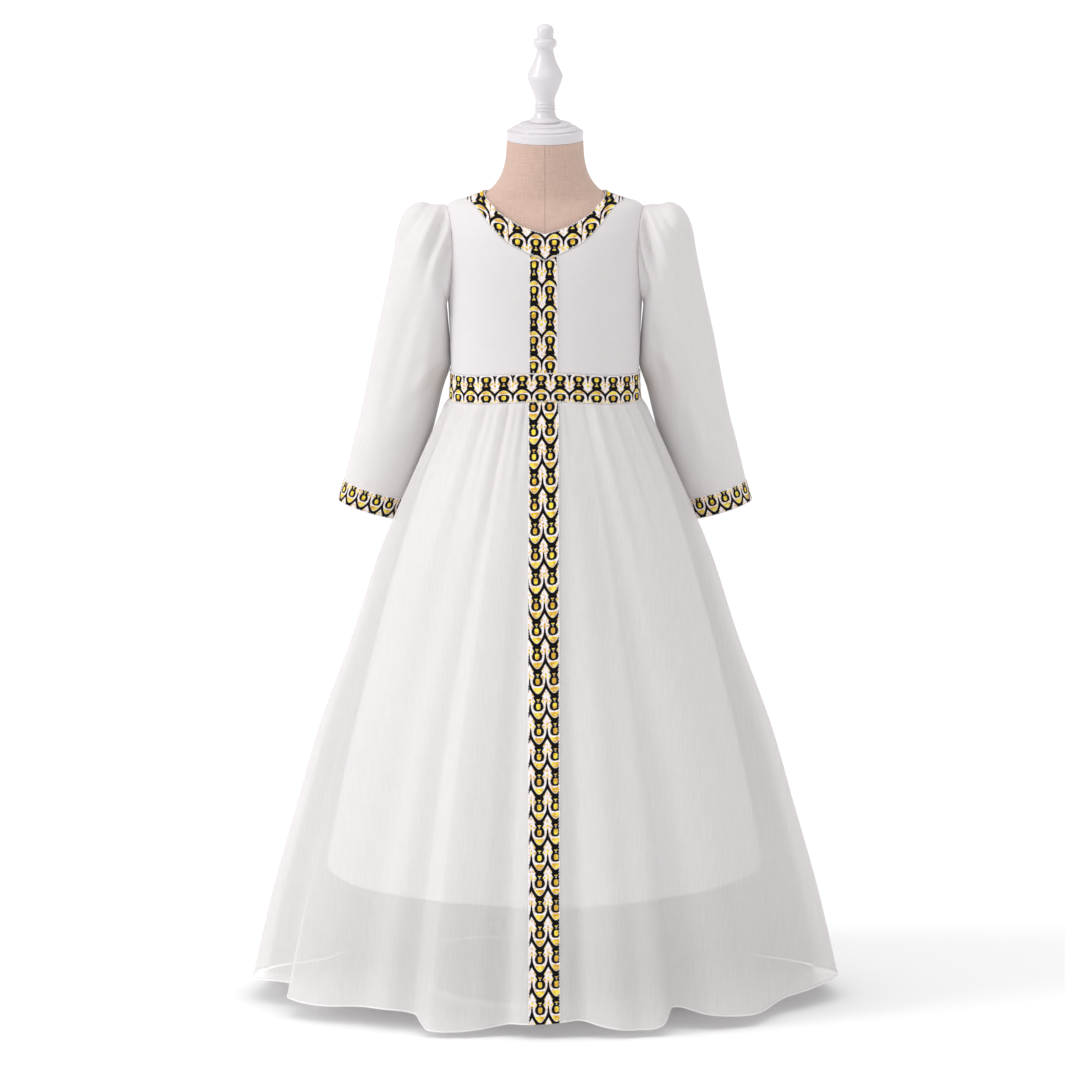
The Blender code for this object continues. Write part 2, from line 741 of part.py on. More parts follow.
def make_sleeves(dress):
    """The sleeves and their cuffs."""
    sleeve = [armhole_loop()] + [sleeve_loop(ring, 0.0) for ring in SLEEVE_RINGS]
    last = SLEEVE_RINGS[-1]
    drop = Vector((CUFF_HEM.outer_x - last.outer_x, 0.0, CUFF_HEM.outer_z - last.outer_z))
    start = [p + drop.normalized() * SEAM * MM for p in sleeve_loop(last, CUFF_PROUD)]
    cuff = [start, sleeve_loop(CUFF_HEM, CUFF_PROUD)]
    for name, outer, thickness, look in (
        ("sleeve", sleeve, SHEER, WHITE_CLOTH),
        ("cuff", cuff, TRIM, TRIM_CLOTH),
    ):
        inner = [pulled_in(loop, thickness) for loop in outer]
        wall(name + "_right", inner, outer, look, dress, closed=True)
        wall(name + "_left", mirrored(inner), mirrored(outer), look, dress, closed=True)


def zip_rows():
    """The chain's line down the centre back as (point, outward direction), from bottom to top."""
    outer = skirt_surface(SKIRT_RINGS, SKIRT_FOLDS, SKIRT_HEM, SKIRT_INSET)
    rows = []
    for share in (ZIP_SHARE, 0.08, 0.04, 0.0):
        rows.append((outer(BACK, share), normal_of(outer, BACK, share)))
    low, high = level_of(belt_edge(BACK, 0.0)), level_of(ZIP_TOP)
    for r in range(ZIP_UPPER_ROWS + 1):
        level = mix(low, high, r / ZIP_UPPER_ROWS)
        out = normal_of(cloth_point, BACK, level)
        rows.append((cloth_point(BACK, level) + out * ZIP_INSET * MM, out))
    return rows


def extruded(outline_points, low, high):
    """A prism: an outline of (a, b) points, extruded along the third axis between two heights."""
    mesh = bmesh.new()
    bottom = [mesh.verts.new(Vector((a, b, low)) * MM) for a, b in outline_points]
    top = [mesh.verts.new(Vector((a, b, high)) * MM) for a, b in outline_points]
    mesh.faces.new(bottom)
    mesh.faces.new(top)
    for k, point in enumerate(bottom):
        after = (k + 1) % len(bottom)
        mesh.faces.new((point, bottom[after], top[after], top[k]))
    return mesh


def arc(centre, radius, start, end, steps):
    """Points of an arc from one angle to another, in degrees."""
    angles = [math.radians(mix(start, end, k / steps)) for k in range(steps + 1)]
    return [(centre[0] + radius * math.cos(a), centre[1] + radius * math.sin(a)) for a in angles]


def along_x(mesh, place=Matrix()):
    """Turns a prism so that its length runs along X, its first axis along Y and its second along Z."""
    turn = Matrix(((0, 0, 1, 0), (1, 0, 0, 0), (0, 1, 0, 0), (0, 0, 0, 1)))
    bmesh.ops.transform(mesh, matrix=place @ turn, verts=mesh.verts)
    return mesh


def combine(node, tool, operation):
    """Joins a tool to an object, or cuts it away, and leaves the tool out of the model."""
    step = node.modifiers.new(operation.lower() + "_" + tool.name, "BOOLEAN")
    step.operation = operation
    step.solver = "EXACT"
    step.object = tool
    tool.hide_render = True
    tool.display_type = "WIRE"


def make_zip(dress):
    """The chain down the centre back, the slider at its top and the pull tab that hangs from it."""
    half = Vector((ZIP_CHAIN_WIDTH / 2 * MM, 0.0, 0.0))
    rows = zip_rows()
    inner = [[point - half, point + half] for point, _ in rows]
    thick = ZIP_CHAIN_THICK * MM
    outer = [[point - half + out * thick, point + half + out * thick] for point, out in rows]
    wall("zip_chain", inner, outer, ZIP_NYLON, dress)

    level = level_of(SLIDER_RING)
    out = normal_of(cloth_point, BACK, level)
    seat = cloth_point(BACK, level) + out * (NECKBAND + LAYER_GAP) * MM
    down = out.cross(Vector((1.0, 0.0, 0.0)))
    frame = Matrix(((1, down.x, out.x), (0, down.y, out.y), (0, down.z, out.z))).to_4x4()
    slider_place = guide("zip_slider_place", Matrix.Translation(seat) @ frame)

    long, wide = SLIDER_LENGTH / 2, SLIDER_WIDTH / 2
    plate = [(-wide, -long), (wide, -long), (wide * 0.7, long), (-wide * 0.7, long)]
    slider = to_object("zip_slider", extruded(plate, 0.0, SLIDER_PLATE), ZIP_METAL, slider_place)
    soften = slider.modifiers.new("soft_edges", "BEVEL")
    soften.width = 0.35 * MM
    soften.segments = 2
    ear = [(EAR_RADIUS, SLIDER_PLATE / 2)] + arc((0.0, PIN_HEIGHT), EAR_RADIUS, 0, 180, 8)
    ear.append((-EAR_RADIUS, SLIDER_PLATE / 2))
    for side, start in (("left", -EAR_INSIDE / 2 - EAR_THICK), ("right", EAR_INSIDE / 2)):
        prism = along_x(extruded(ear, start, start + EAR_THICK))
        combine(slider, to_object("ear_" + side, prism, ZIP_METAL, slider_place), "UNION")
    pin = arc((0.0, PIN_HEIGHT), PIN_RADIUS, 0, 360, 12)[:-1]
    reach = EAR_INSIDE / 2 + EAR_THICK / 2
    prism = along_x(extruded(pin, -reach, reach))
    combine(slider, to_object("pin", prism, ZIP_METAL, slider_place), "UNION")

    hinge = guide("zip_pull_hinge", Matrix.Rotation(math.radians(-PULL_LEAN), 4, "X"))
    hinge.location = Vector((0.0, 0.0, PIN_HEIGHT)) * MM
    hinge.parent = slider_place
    neck, end = EYE_WIDTH / 2, PULL_WIDTH / 2
    tab = [(-neck, 0.0), (neck, 0.0), (neck, 4.0)]
    tab += arc((0.0, PULL_LENGTH - end), end, -20, 200, 12) + [(-neck, 4.0)]
    pull = to_object("zip_pull", extruded(tab, -PULL_THICK / 2, PULL_THICK / 2), ZIP_METAL, hinge)
    eye = arc((0.0, 0.0), EYE_RADIUS, 0, 360, 16)[:-1]
    prism = along_x(extruded(eye, -EYE_WIDTH / 2, EYE_WIDTH / 2))
    combine(pull, to_object("eye", prism, ZIP_METAL, hinge), "UNION")
    hole = arc((0.0, 0.0), EYE_HOLE, 0, 360, 12)[:-1]
    prism = along_x(extruded(hole, -EYE_WIDTH, EYE_WIDTH))
    combine(pull, to_object("eye_hole", prism, ZIP_METAL, hinge), "DIFFERENCE")


def stacked(name, loops, look, parent):
    """A closed body through loops of points, from the lowest to the highest."""
    mesh = bmesh.new()
    rings = [[mesh.verts.new(point) for point in loop] for loop in loops]
    for low, high in zip(rings, rings[1:]):
        for k, point in enumerate(low):
            after = (k + 1) % len(low)
            mesh.faces.new((point, low[after], high[after], high[k]))
    mesh.faces.new(rings[0])
    mesh.faces.new(rings[-1])
    return to_object(name, mesh, look, parent)


def turned(name, profile, steps, look, parent):
    """A turned body from a profile of radii and heights."""
    loops = []
    for turn in profile:
        angles = [2 * math.pi * k / steps for k in range(steps)]
        loops.append([polar(angle, turn.radius, turn.height) for angle in angles])
    return stacked(name, loops, look, parent)


def make_stand(stand):
    """The dress form with its cap and finial, and the pole and base that carry it."""
    angles = [2 * math.pi * k / FORM_POINTS for k in range(FORM_POINTS)]
    loops = [[form_point(angle, level) for angle in angles] for level in range(len(FORM_RINGS))]
    stacked("form_torso", loops, LINEN, stand)
    turned("neck_cap", NECK_CAP, 40, WHITE_PAINT, stand)
    turned("finial", FINIAL, 24, WHITE_PAINT, stand)
    pole = (Turn(POLE_RADIUS, POLE_BOTTOM), Turn(POLE_RADIUS, TORSO_BOTTOM - REST_GAP))
    turned("pole", pole, 24, WHITE_PAINT, stand)
    turned("base", BASE, 48, WHITE_PAINT, stand)


def main():
    clear_scene()
    dress = guide("dress")
    stand = guide("stand")
    make_bodice(dress)
    make_waistband(dress)
    make_skirt(dress)
    make_sleeves(dress)
    make_zip(dress)
    make_stand(stand)


main()
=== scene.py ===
"""The looks of a girl's white gown with patterned trim, on a limbless linen dress form.

Metres, +Z up, and the front faces -Y. Tables and named sizes are in millimetres and are turned into
metres by MM. "around" is an angle about the Z axis, 0 at the centre front and a quarter turn at the
+X side. A cloth piece is a grid of points whose rows go up the cloth and whose columns go around it.
"""

import math
from collections import namedtuple

import bmesh
import bpy
import numpy as np
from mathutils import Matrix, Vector


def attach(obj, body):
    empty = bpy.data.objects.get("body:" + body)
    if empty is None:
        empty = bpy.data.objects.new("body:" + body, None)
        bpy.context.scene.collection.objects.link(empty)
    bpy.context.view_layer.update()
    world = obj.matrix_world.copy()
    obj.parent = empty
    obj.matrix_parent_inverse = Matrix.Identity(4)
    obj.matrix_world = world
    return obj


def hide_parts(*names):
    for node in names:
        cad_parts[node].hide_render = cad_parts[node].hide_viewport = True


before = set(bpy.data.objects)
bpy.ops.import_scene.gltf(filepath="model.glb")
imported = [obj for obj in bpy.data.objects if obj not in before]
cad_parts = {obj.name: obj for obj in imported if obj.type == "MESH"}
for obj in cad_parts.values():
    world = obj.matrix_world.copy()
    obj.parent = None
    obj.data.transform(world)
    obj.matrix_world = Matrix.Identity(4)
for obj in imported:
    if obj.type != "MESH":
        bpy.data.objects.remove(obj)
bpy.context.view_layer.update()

MM = 0.001
SIDE = math.pi / 2
BACK = math.pi
GOWN = "gown_and_form"

# Camera: far off and looking slightly down; the view's width is taken at the aim, in metres
CAMERA_DISTANCE = 20.0
CAMERA_ELEVATION = 10.0
CAMERA_AIM = (-0.0144, 0.0, 0.535)
VIEW_WIDTH = 1.2248
SENSOR_WIDTH = 36.0

# The white surround as light, and as the camera sees it
LIGHTING_BRIGHTNESS = 0.64
SEEN_BRIGHTNESS = 1.0

# Seams, and how far the outer face of each cloth and trim lies out from the cloth's inner face
SEAM = 0.3
CLOTH = 1.2
SHEER = 1.0
LINING_RISE = 0.7
NECKBAND = 1.5
WAISTBAND = 2.8
BAND_OVER = 1.5

# The skirt, and the centre band's edges to each side of the middle
SKIRT_INSET = 1.5
SKIRT_LENGTH = 690.0
GATHERED_TOP = 130.0
BODICE_BAND_LEFT = -18.2
BODICE_BAND_RIGHT = 14.2
SKIRT_BAND_LEFT = -19.0
SKIRT_BAND_RIGHT = 15.6
SKIRT_BAND_SPREAD = 1.6

# How thick the finished cloth and trim are
BODICE_THICK = 0.8
TRIM_THICK = 1.0
BELT_THICK = 1.8
BAND_THICK = 0.9
VOILE_THICK = 0.5
LINING_THICK = 0.6

# Nominal widths of the trims, the depth of a turned hem, and the rows or columns of a trim that
# carry stitches, counted from each edge
NECKBAND_WIDE = 28.0
BODICE_BAND_WIDE = 32.0
SKIRT_BAND_WIDE = 35.0
CUFF_WIDE = 27.0
HEM_TURN = 1.2
STITCHED = (3, -4)

# How much more solid the sheer skirt is where its fullness is 1
FULLER = 0.45

# Belt line
BELT_HEIGHT = 32.5
BELT_SIDE_CENTRE = 708.0
BELT_FRONT_RISE = 9.3
BELT_FRONT_SPREAD = 0.03

# Woven trim: one motif's cell, how far an arch falls from its crown to its foot and where the eye of
# its keyhole lies; then how far apart the neckband front's columns stand, and how far each column's
# pattern is shifted, from the middle outwards
CELL_WIDTH = 18.8
CELL_HEIGHT = 29.0
ARCH_DEPTH = 15.0
CORE_DEPTH = 17.0
NECK_PITCH = 21.0
NECK_STAGGER = (0.7, 8.5, 4.8, 14.5, 8.0, 31.0, 36.0, 41.0)

# Centre back zip: the shares are of the skirt's length
ZIP_SLOT = 3.6
ZIP_SHARE = 0.13
ZIP_TOP = 917.0
ZIP_INSET = 0.4
ZIP_CHAIN_THICK = 1.2
ZIP_TEETH_ASIDE = 0.6
ZIP_TEETH_UNDER_TOP = 3.0
ZIP_TEETH_SHARE = 0.126

# How far the skirt band's pattern lies to the side, by the distance up from the hem
DRIFT_UP = (0.0, 336.0, 440.0, 720.0)
DRIFT = (0.0, 1.2, 3.6, 7.5)


def table(row, *rows):
    """A table of numbers, in rows with named columns."""
    return tuple(row(*map(float, numbers)) for numbers in rows)


# The dress form: half_width is along X, front and back are depths from the centre, roundness is the
# superellipse power of the outline, and ease is how far the cloth's inner face stands off the form.
FormRing = namedtuple("FormRing", "height half_width front back roundness ease")
FORM_RINGS = table(
    FormRing,
    (485, 106, 76, 88, 2.2, 4), (520, 113, 81, 94, 2.2, 4), (570, 116, 84, 96, 2.2, 4),
    (620, 113, 82, 91, 2.2, 3.5), (665, 108, 78, 81, 2.2, 2.6), (710, 104.5, 75, 75, 2.2, 2.2),
    (750, 104, 74, 75, 2.25, 3.6), (790, 105, 75, 77, 2.3, 4.2), (830, 107.5, 76, 79, 2.35, 4.4),
    (860, 110, 75, 79, 2.35, 4.4), (885, 111.5, 70, 75, 2.25, 4), (900, 111.5, 64, 69, 2, 4),
    (910, 109, 58, 63, 1.8, 4.2), (916, 104.5, 53, 58, 1.7, 3.4), (920.5, 95.5, 49, 54, 1.7, 1.6),
    (924.5, 84, 46, 51, 1.75, 1), (929, 72.5, 43.5, 49, 1.85, 1), (936, 61, 42.5, 48, 2, 1.2),
    (950, 51, 42, 46, 2, 1.6), (968, 45.6, 42.8, 44.2, 2, 2), (992, 43.7, 43.7, 43.7, 2, 2),
)

# The neckband between its outer edge, sewn to the bodice, and its open inner edge.
NeckPoint = namedtuple("NeckPoint", "angle outer inner")
NECK_FRONT = table(
    NeckPoint,
    (0, 862.5, 892), (17, 872, 897.3), (32, 882, 903.8), (46, 896, 911), (60, 909.5, 920),
    (75, 919, 927.5), (90, 922.7, 932),
)
NECK_BACK = table(
    NeckPoint,
    (90, 922.7, 932), (108, 917, 928.5), (130, 907.5, 924), (155, 900.5, 921.5),
    (180, 898.5, 920.5),
)

# The armhole from the underarm up to the shoulder tip, in front and behind alike.
ArmPoint = namedtuple("ArmPoint", "height half_width")
ARMHOLE = table(
    ArmPoint,
    (806, 111), (811, 110.3), (823, 108.6), (841, 107), (861, 106.2), (880, 106.4), (896, 107.8),
    (907, 110.2), (913, 112),
)

# The +X sleeve from its gathered head to its hem: the outer and the inner edge of each ring as
# they show from the front, how far back its centre lies, and its depth in front and behind.
SleeveRing = namedtuple("SleeveRing", "outer_x outer_z inner_x inner_z centre_y front back")
SLEEVE_RINGS = table(
    SleeveRing,
    (128, 917, 112.7, 801, 0, 44, 45), (143, 918.8, 112, 793, 1, 48, 49),
    (156.5, 912.5, 111.2, 784, 3, 50, 51), (166.5, 895, 110.3, 773, 7, 50, 50),
    (173.5, 862, 109.2, 760, 12, 48, 49), (180.5, 826, 108.4, 745, 17, 47, 47),
    (188, 787, 108.2, 727, 23, 45, 45), (197, 740, 117, 699, 31, 43, 43),
    (208, 684, 127.5, 654, 42, 40, 40), (220, 636, 139.5, 612, 53, 38, 38),
    (227.5, 604, 149.4, 581, 62.8, 36, 36), (231.5, 586, 155.4, 564, 68, 35, 35),
)
CUFF_HEM = SleeveRing(238.6, 560.5, 163.6, 538.5, 76.5, 35.0, 35.0)
CUFF_PROUD = 0.5
SLEEVE_START = 0.35

# Skirt outlines by the share of the way from the belt to the hem.
SkirtRing = namedtuple("SkirtRing", "share half_width front back roundness")
SKIRT_RINGS = table(
    SkirtRing,
    (0.03, 119, 89, 90, 2.1), (0.13, 150, 118, 120, 2), (0.27, 190, 152, 154, 2),
    (0.41, 220, 182, 186, 2), (0.56, 256, 216, 222, 2), (0.7, 282, 242, 250, 2),
    (0.85, 309, 267, 276, 2), (1, 331, 288, 297, 2),
)
LINING_RINGS = table(
    SkirtRing,
    (0.05, 114, 84, 85, 2.1), (0.2, 144, 112, 114, 2), (0.4, 177, 141, 144, 2),
    (0.6, 205, 169, 173, 2), (0.8, 230, 194, 199, 2), (1, 251, 216, 222, 2),
)

# Hem heights by the angle around.
HemPoint = namedtuple("HemPoint", "angle height")
SKIRT_HEM = table(
    HemPoint,
    (-180, 0.3), (-163, 0.5), (-150, 0.3), (-128, 0.6), (-108, 4), (-92, 21), (-80, 25),
    (-67, 27), (-62, 22), (-55, 19), (-44, 22), (-31.5, 19), (-26.5, 9), (-20, 7),
    (-14, 10), (-8, 14.5), (0, 17), (9.5, 18.5), (13, 13.5), (20, 9), (26, 12),
    (29, 23), (33, 26), (38, 17.5), (44, 14), (51, 13), (60, 17), (70, 22),
    (81, 26), (94, 19), (112, 3), (128, 0.6), (143, 0.3), (160, 0.5), (180, 0.3),
)
LINING_HEM = table(
    HemPoint,
    (-180, 143), (-90, 148), (-40, 141), (0, 138), (40, 143), (90, 148), (180, 143),
)

# The skirt's large folds: where each runs, how many degrees it takes to rise before that and to fall
# after it, how far it stands out at the hem (in, where negative) and the share of the skirt's length
# at which it begins.
Fold = namedtuple("Fold", "angle before after reach start")
SKIRT_FOLDS = table(
    Fold,
    (-79, 12, 9, 10.5, 0.15), (-69, 9, 4, -12.3, 0.25), (-61, 5, 17, 15.9, 0.12),
    (-43, 9, 8, -8.8, 0.1), (-31.5, 9, 3.5, -14, 0.16), (-25, 4, 13, 15.9, 0.04),
    (-9, 7, 5, -12.3, 0.06), (8, 4, 4, -6.1, 0.3), (17, 8, 11, 10.5, 0.05),
    (26, 6, 3, 8.8, 0.35), (32, 4.5, 8, -21.1, 0.1), (46, 10, 10, 12.3, 0.1),
    (62, 10, 9, -10.5, 0.2), (80, 12, 12, 10.5, 0.15), (98, 8, 11, -9.5, 0.15),
    (113, 6, 14, 12.2, 0.3), (131, 8, 6, -10.8, 0.12), (144, 9, 8, 10.8, 0.05),
    (158, 8, 5, -9.5, 0.1), (168, 6, 7, 6.8, 0.15), (-96, 10, 8, -8.1, 0.2),
    (-109, 12, 7, 12.2, 0.3), (-125, 6, 11, -10.8, 0.12), (-141, 10, 6, 9.5, 0.05),
    (-152, 6, 8, -8.1, 0.15), (-166, 7, 8, 10.8, 0.06),
)
LINING_FOLDS = table(
    Fold,
    (-60, 25, 20, 5, 0.3), (-18, 16, 12, -3, 0.3), (20, 18, 20, 5, 0.3), (75, 25, 25, -4, 0.3),
    (130, 30, 20, 5, 0.3), (-135, 20, 30, 4, 0.3),
)

# Gathers under the belt: the angle at which each leaves the seam, how far it wanders by its lower
# end, its width, how far it stands out (in, where negative) and its length down the skirt.
Gather = namedtuple("Gather", "angle wander width reach length")
SKIRT_GATHERS = table(
    Gather,
    (-84, 2, 5, 2.8, 247), (-76, 1, 3, -2, 143), (-70, -1, 4, 3, 312),
    (-63, -2, 2.6, -2.5, 195), (-58, 0, 3.2, 2.2, 156), (-51, 1, 3.6, 3.2, 364),
    (-45, 2, 2.2, -2.8, 221), (-40, 0, 2.8, 2.1, 169), (-34, 1, 3, 3, 390),
    (-28.5, 0, 2, -3, 338), (-24, -1, 2.6, 2.2, 143), (-19, 0, 2.2, 1.8, 234),
    (-15.5, 0, 1.8, -1.9, 130), (13.5, 0, 2, 1, 117), (31, 2, 2.8, -2, 195),
    (37, 3, 2.6, 2.8, 338), (43, 2, 2.4, -3.2, 286), (48, 2, 3, 3, 247),
    (54, 3, 2.4, -3.2, 390), (59.5, 1, 2.8, 3, 195), (65, 2, 2.6, -2.5, 234),
    (71, 1, 3.4, 3, 299), (78, 1, 3, -2, 156), (86, 0, 4.2, 2.8, 260),
    (97, 1, 3.4, 2.8, 221), (103, -1, 2.6, -2.5, 286), (110, 0, 3.4, 3.2, 118),
    (117, 1, 2.4, -2.5, 169), (122, 2, 3, 2.5, 234), (129, 0, 3.2, 3.2, 390),
    (135, -1, 2.2, -3, 221), (141, 0, 3, 2.8, 273), (148, 1, 2.6, -2.2, 169),
    (154, 1, 3, 3, 312), (161, 0, 2.4, -2.5, 208), (167, 0, 2.8, 2.2, 247),
    (-95, 0, 3.6, -2.5, 234), (-101, 1, 3, 3, 286), (-108, 0, 2.6, -2.2, 182),
    (-114, -1, 3.4, 3.2, 118), (-121, 0, 2.4, -2.8, 247), (-127, 1, 3, 2.5, 195),
    (-133, 0, 2.8, 3, 325), (-139.5, -2, 2.4, -3, 273), (-146, 0, 3.2, 2.8, 221),
    (-152, 1, 2.4, -2, 156), (-158, 0, 3, 3.2, 338), (-165, 0, 2.6, -2.5, 234),
    (-171, 0, 2.4, 2, 182),
)

# Creases on a sleeve as they show from the front, in millimetres to the side and up: from one place
# to another, how far the crease bends aside at its middle, its width, and how far it stands out (in,
# where negative). HEAD creases start at full depth at the gathered seam; the others swell and fade.
Crease = namedtuple("Crease", "from_side from_up to_side to_up bend width reach")
FIRST_HEAD = table(
    Crease,
    (119, 921, 158, 818, 5, 5.2, 4.3), (114, 908, 143, 812, 4, 4.4, -4.1),
    (110, 893, 133, 826, 3, 4.6, 3.8), (109, 872, 123, 806, 2, 4, -3),
    (131, 922, 174, 846, 6, 4.6, -3.2), (107, 851, 117, 801, 1, 4, 2.4),
    (140, 922, 170, 872, 5, 5, 2.2),
)
SECOND_HEAD = table(
    Crease,
    (112, 903, 137, 812, -2, 4, -7.2), (114, 917, 152, 812, 5, 5.4, 5.6),
    (109, 884, 126, 830, -1, 3.8, 4.8), (126, 922, 167, 836, 6, 4.4, -3.2),
    (108, 862, 119, 806, 1, 4.2, -3.2), (137, 922, 178, 850, 6, 5.2, 3),
)
FIRST_FOLDS = table(
    Crease,
    (143, 822, 186, 652, 5, 9, -2.6), (164, 838, 208, 660, 6, 10, 2.6),
    (128, 792, 158, 640, -3, 8, 2.4), (178, 782, 214, 628, 4, 8, -2.2),
    (118, 742, 152, 700, 3, 6, 2), (124, 712, 160, 672, 3, 6, -1.8),
)
SECOND_FOLDS = table(
    Crease,
    (136, 838, 176, 690, 6, 9, 2.8), (157, 846, 196, 668, 6, 9, -2.6),
    (174, 802, 212, 640, 4, 9, 2.4), (122, 790, 146, 672, -3, 7, -2.2),
    (162, 690, 184, 608, 2, 8, 1.8), (117, 756, 148, 722, 3, 6, 1.8),
)


def unit(vectors):
    return vectors / np.linalg.norm(vectors, axis=-1, keepdims=True)


def mix(a, b, share):
    return a + (b - a) * share


def smooth(value):
    """Rises gently from 0 to 1."""
    value = np.clip(value, 0.0, 1.0)
    return value * value * (3.0 - 2.0 * value)


def between(rows, position):
    """The table's columns at fractional row numbers, on smooth curves through its rows."""
    numbers = np.asarray(rows, float)
    position = np.clip(position, 0.0, len(rows) - 1.0)
    step = np.minimum(position.astype(int), len(rows) - 2)
    t = (position - step).reshape(position.shape + (1,) * (numbers.ndim - 1))
    p, q, r, s = (numbers[np.clip(step + k, 0, len(rows) - 1)] for k in (-1, 0, 1, 2))
    second = 2 * p - 5 * q + 4 * r - s
    third = 3 * q - p - 3 * r + s
    value = 0.5 * (2 * q + (r - p) * t + second * t**2 + third * t**3)
    return np.moveaxis(value, position.ndim, 0)


def position_of(rows, column, value):
    """The fractional row number at which a rising column reaches a value."""
    positions = np.linspace(0.0, len(rows) - 1.0, 40 * len(rows))
    reached = between(rows, positions)[rows[0]._fields.index(column)]
    return np.interp(value, reached, positions)


def at(rows, column, value):
    """The table's columns where one of them reaches a value."""
    return between(rows, position_of(rows, column, value))


def outline(around, half_width, front, back, roundness):
    """The distance from the Z axis to a superellipse, in the direction around."""
    depth = np.where(np.cos(around) > 0, front, back)
    across = np.abs(np.sin(around)) / half_width
    along = np.abs(np.cos(around)) / depth
    return (across**roundness + along**roundness) ** (-1 / roundness)


def polar(around, distance, height):
    return np.stack((distance * np.sin(around), -distance * np.cos(around), height + 0 * around), -1)


def normal_of(surface, around, level, step=1e-3):
    """The direction out of a surface, away from the Z axis."""
    across = surface(around + step, level) - surface(around - step, level)
    along = surface(around, level + step) - surface(around, level - step)
    out = unit(np.cross(across, along))
    aside = (out * polar(around, 1.0, 0.0)).sum(-1, keepdims=True)
    return np.where(aside > 0, out, -out)


def form_point(around, level):
    """A point of the dress form. A level is a fractional row number of FORM_RINGS."""
    height, half_width, front, back, roundness, _ = between(FORM_RINGS, level + 0 * around)
    return polar(around, outline(around, half_width, front, back, roundness), height)


def cloth_point(around, level):
    """A point of the cloth's inner face on the upper body."""
    ease = between(FORM_RINGS, level + 0 * around)[5]
    return form_point(around, level) + normal_of(form_point, around, level) * ease[..., None]


def moved_out(surface, around, level, distance):
    return surface(around, level) + normal_of(surface, around, level) * distance


def level_of(height):
    return position_of(FORM_RINGS, "height", height)


def side_seam(level, behind=False):
    """The angle of the side and shoulder seams, half a seam's gap short of the side."""
    gap = SEAM / 2 / between(FORM_RINGS, np.asarray(level, float))[1]
    return SIDE + gap if behind else SIDE - gap


def belt_edge(around, rise):
    """The height of a line that lies a rise above the belt's middle."""
    front = np.maximum(0.0, np.cos(around)) ** 2
    return BELT_SIDE_CENTRE + rise + front * (BELT_FRONT_RISE + BELT_FRONT_SPREAD * rise)


def angle_at_width(level, half_width, behind=False):
    """The angle at which the cloth's outer face is this far to the +X side of the middle."""
    low = np.zeros(np.shape(level))
    high = low + SIDE
    for _ in range(30):
        middle = (low + high) / 2
        around = BACK - middle if behind else middle
        narrow = moved_out(cloth_point, around, level, CLOTH)[..., 0] < half_width
        low = np.where(narrow, middle, low)
        high = np.where(narrow, high, middle)
    return BACK - middle if behind else middle


def armhole_places(behind):
    """The armhole's edge on the bodice as (around, level), from the underarm to the shoulder tip."""
    points = np.array(ARMHOLE)
    level = level_of(points[:, 0])
    around = angle_at_width(level, points[:, 1], behind)
    around[[0, -1]] = side_seam(level[[0, -1]], behind)
    return np.stack((around, level), -1)


def refined(places, steps):
    """More places on a smooth curve through a row of them."""
    return between(places, np.linspace(0.0, len(places) - 1.0, steps)).T


def neck_level(around, edge):
    """The level of the neckband's outer or inner edge."""
    angle = np.degrees(np.abs(around))
    column = NeckPoint._fields.index(edge)
    front = at(NECK_FRONT, "angle", angle)[column]
    behind = at(NECK_BACK, "angle", angle)[column]
    return level_of(np.where(angle <= NECK_FRONT[-1].angle, front, behind))


def side_edge(behind):
    """The bodice's +X side from the belt to the neckband: side seam, armhole and shoulder seam."""
    low = level_of(belt_edge(SIDE, BELT_HEIGHT / 2 + SEAM))
    armhole = refined(armhole_places(behind), 70)
    seam = np.linspace(low, armhole[0, 1], 30)[:-1]
    shoulder = np.linspace(armhole[-1, 1], level_of(NECK_FRONT[-1].outer), 18)[1:]
    rows = [np.stack((side_seam(level, behind), level), -1) for level in (seam, shoulder)]
    return np.concatenate((rows[0], armhole, rows[1]))


def patch(bottom, top, left, right):
    """A grid of places between four edges: bottom and top run left to right, the others go up."""
    up = ((left[:, 1] - left[0, 1]) / (left[-1, 1] - left[0, 1]))[:, None, None]
    along = ((bottom[:, 0] - bottom[0, 0]) / (bottom[-1, 0] - bottom[0, 0]))[None, :, None]
    edges = mix(bottom[None], top[None], up) + mix(left[:, None], right[:, None], along)
    low = mix(bottom[0], bottom[-1], along)
    high = mix(top[0], top[-1], along)
    return edges - mix(low, high, up)


def run_along(points, axis):
    """How far each point is from the first of its row (axis 1) or of its column (axis 0)."""
    steps = np.linalg.norm(np.diff(points, axis=axis), axis=-1)
    return np.concatenate((0 * steps.take([0], axis), np.cumsum(steps, axis)), axis)


def lengths(points):
    """How far each point is along its row from the middle column, and up its column."""
    across = run_along(points, 1)
    return across - across[:, [points.shape[1] // 2]], run_along(points, 0)


def creased(side, up, creases, from_seam):
    """How far creases stand out of a piece, at places seen from the front."""
    out = 0.0 * side
    for crease in creases:
        run = np.array((crease.to_side - crease.from_side, crease.to_up - crease.from_up))
        length = np.linalg.norm(run)
        run = run / length
        away = (side - crease.from_side, up - crease.from_up)
        along = np.clip((away[0] * run[0] + away[1] * run[1]) / length, 0.0, 1.0)
        bend = 4 * crease.bend * along * (1 - along)
        off_x = away[0] - run[0] * along * length + run[1] * bend
        off_y = away[1] - run[1] * along * length - run[0] * bend
        away = (off_x**2 + off_y**2) / (crease.width * (0.75 + 0.5 * along)) ** 2
        fade = np.cos(SIDE * along) if from_seam else np.sin(math.pi * along) ** 0.7
        out += crease.reach * np.exp(-away) * fade
    return out


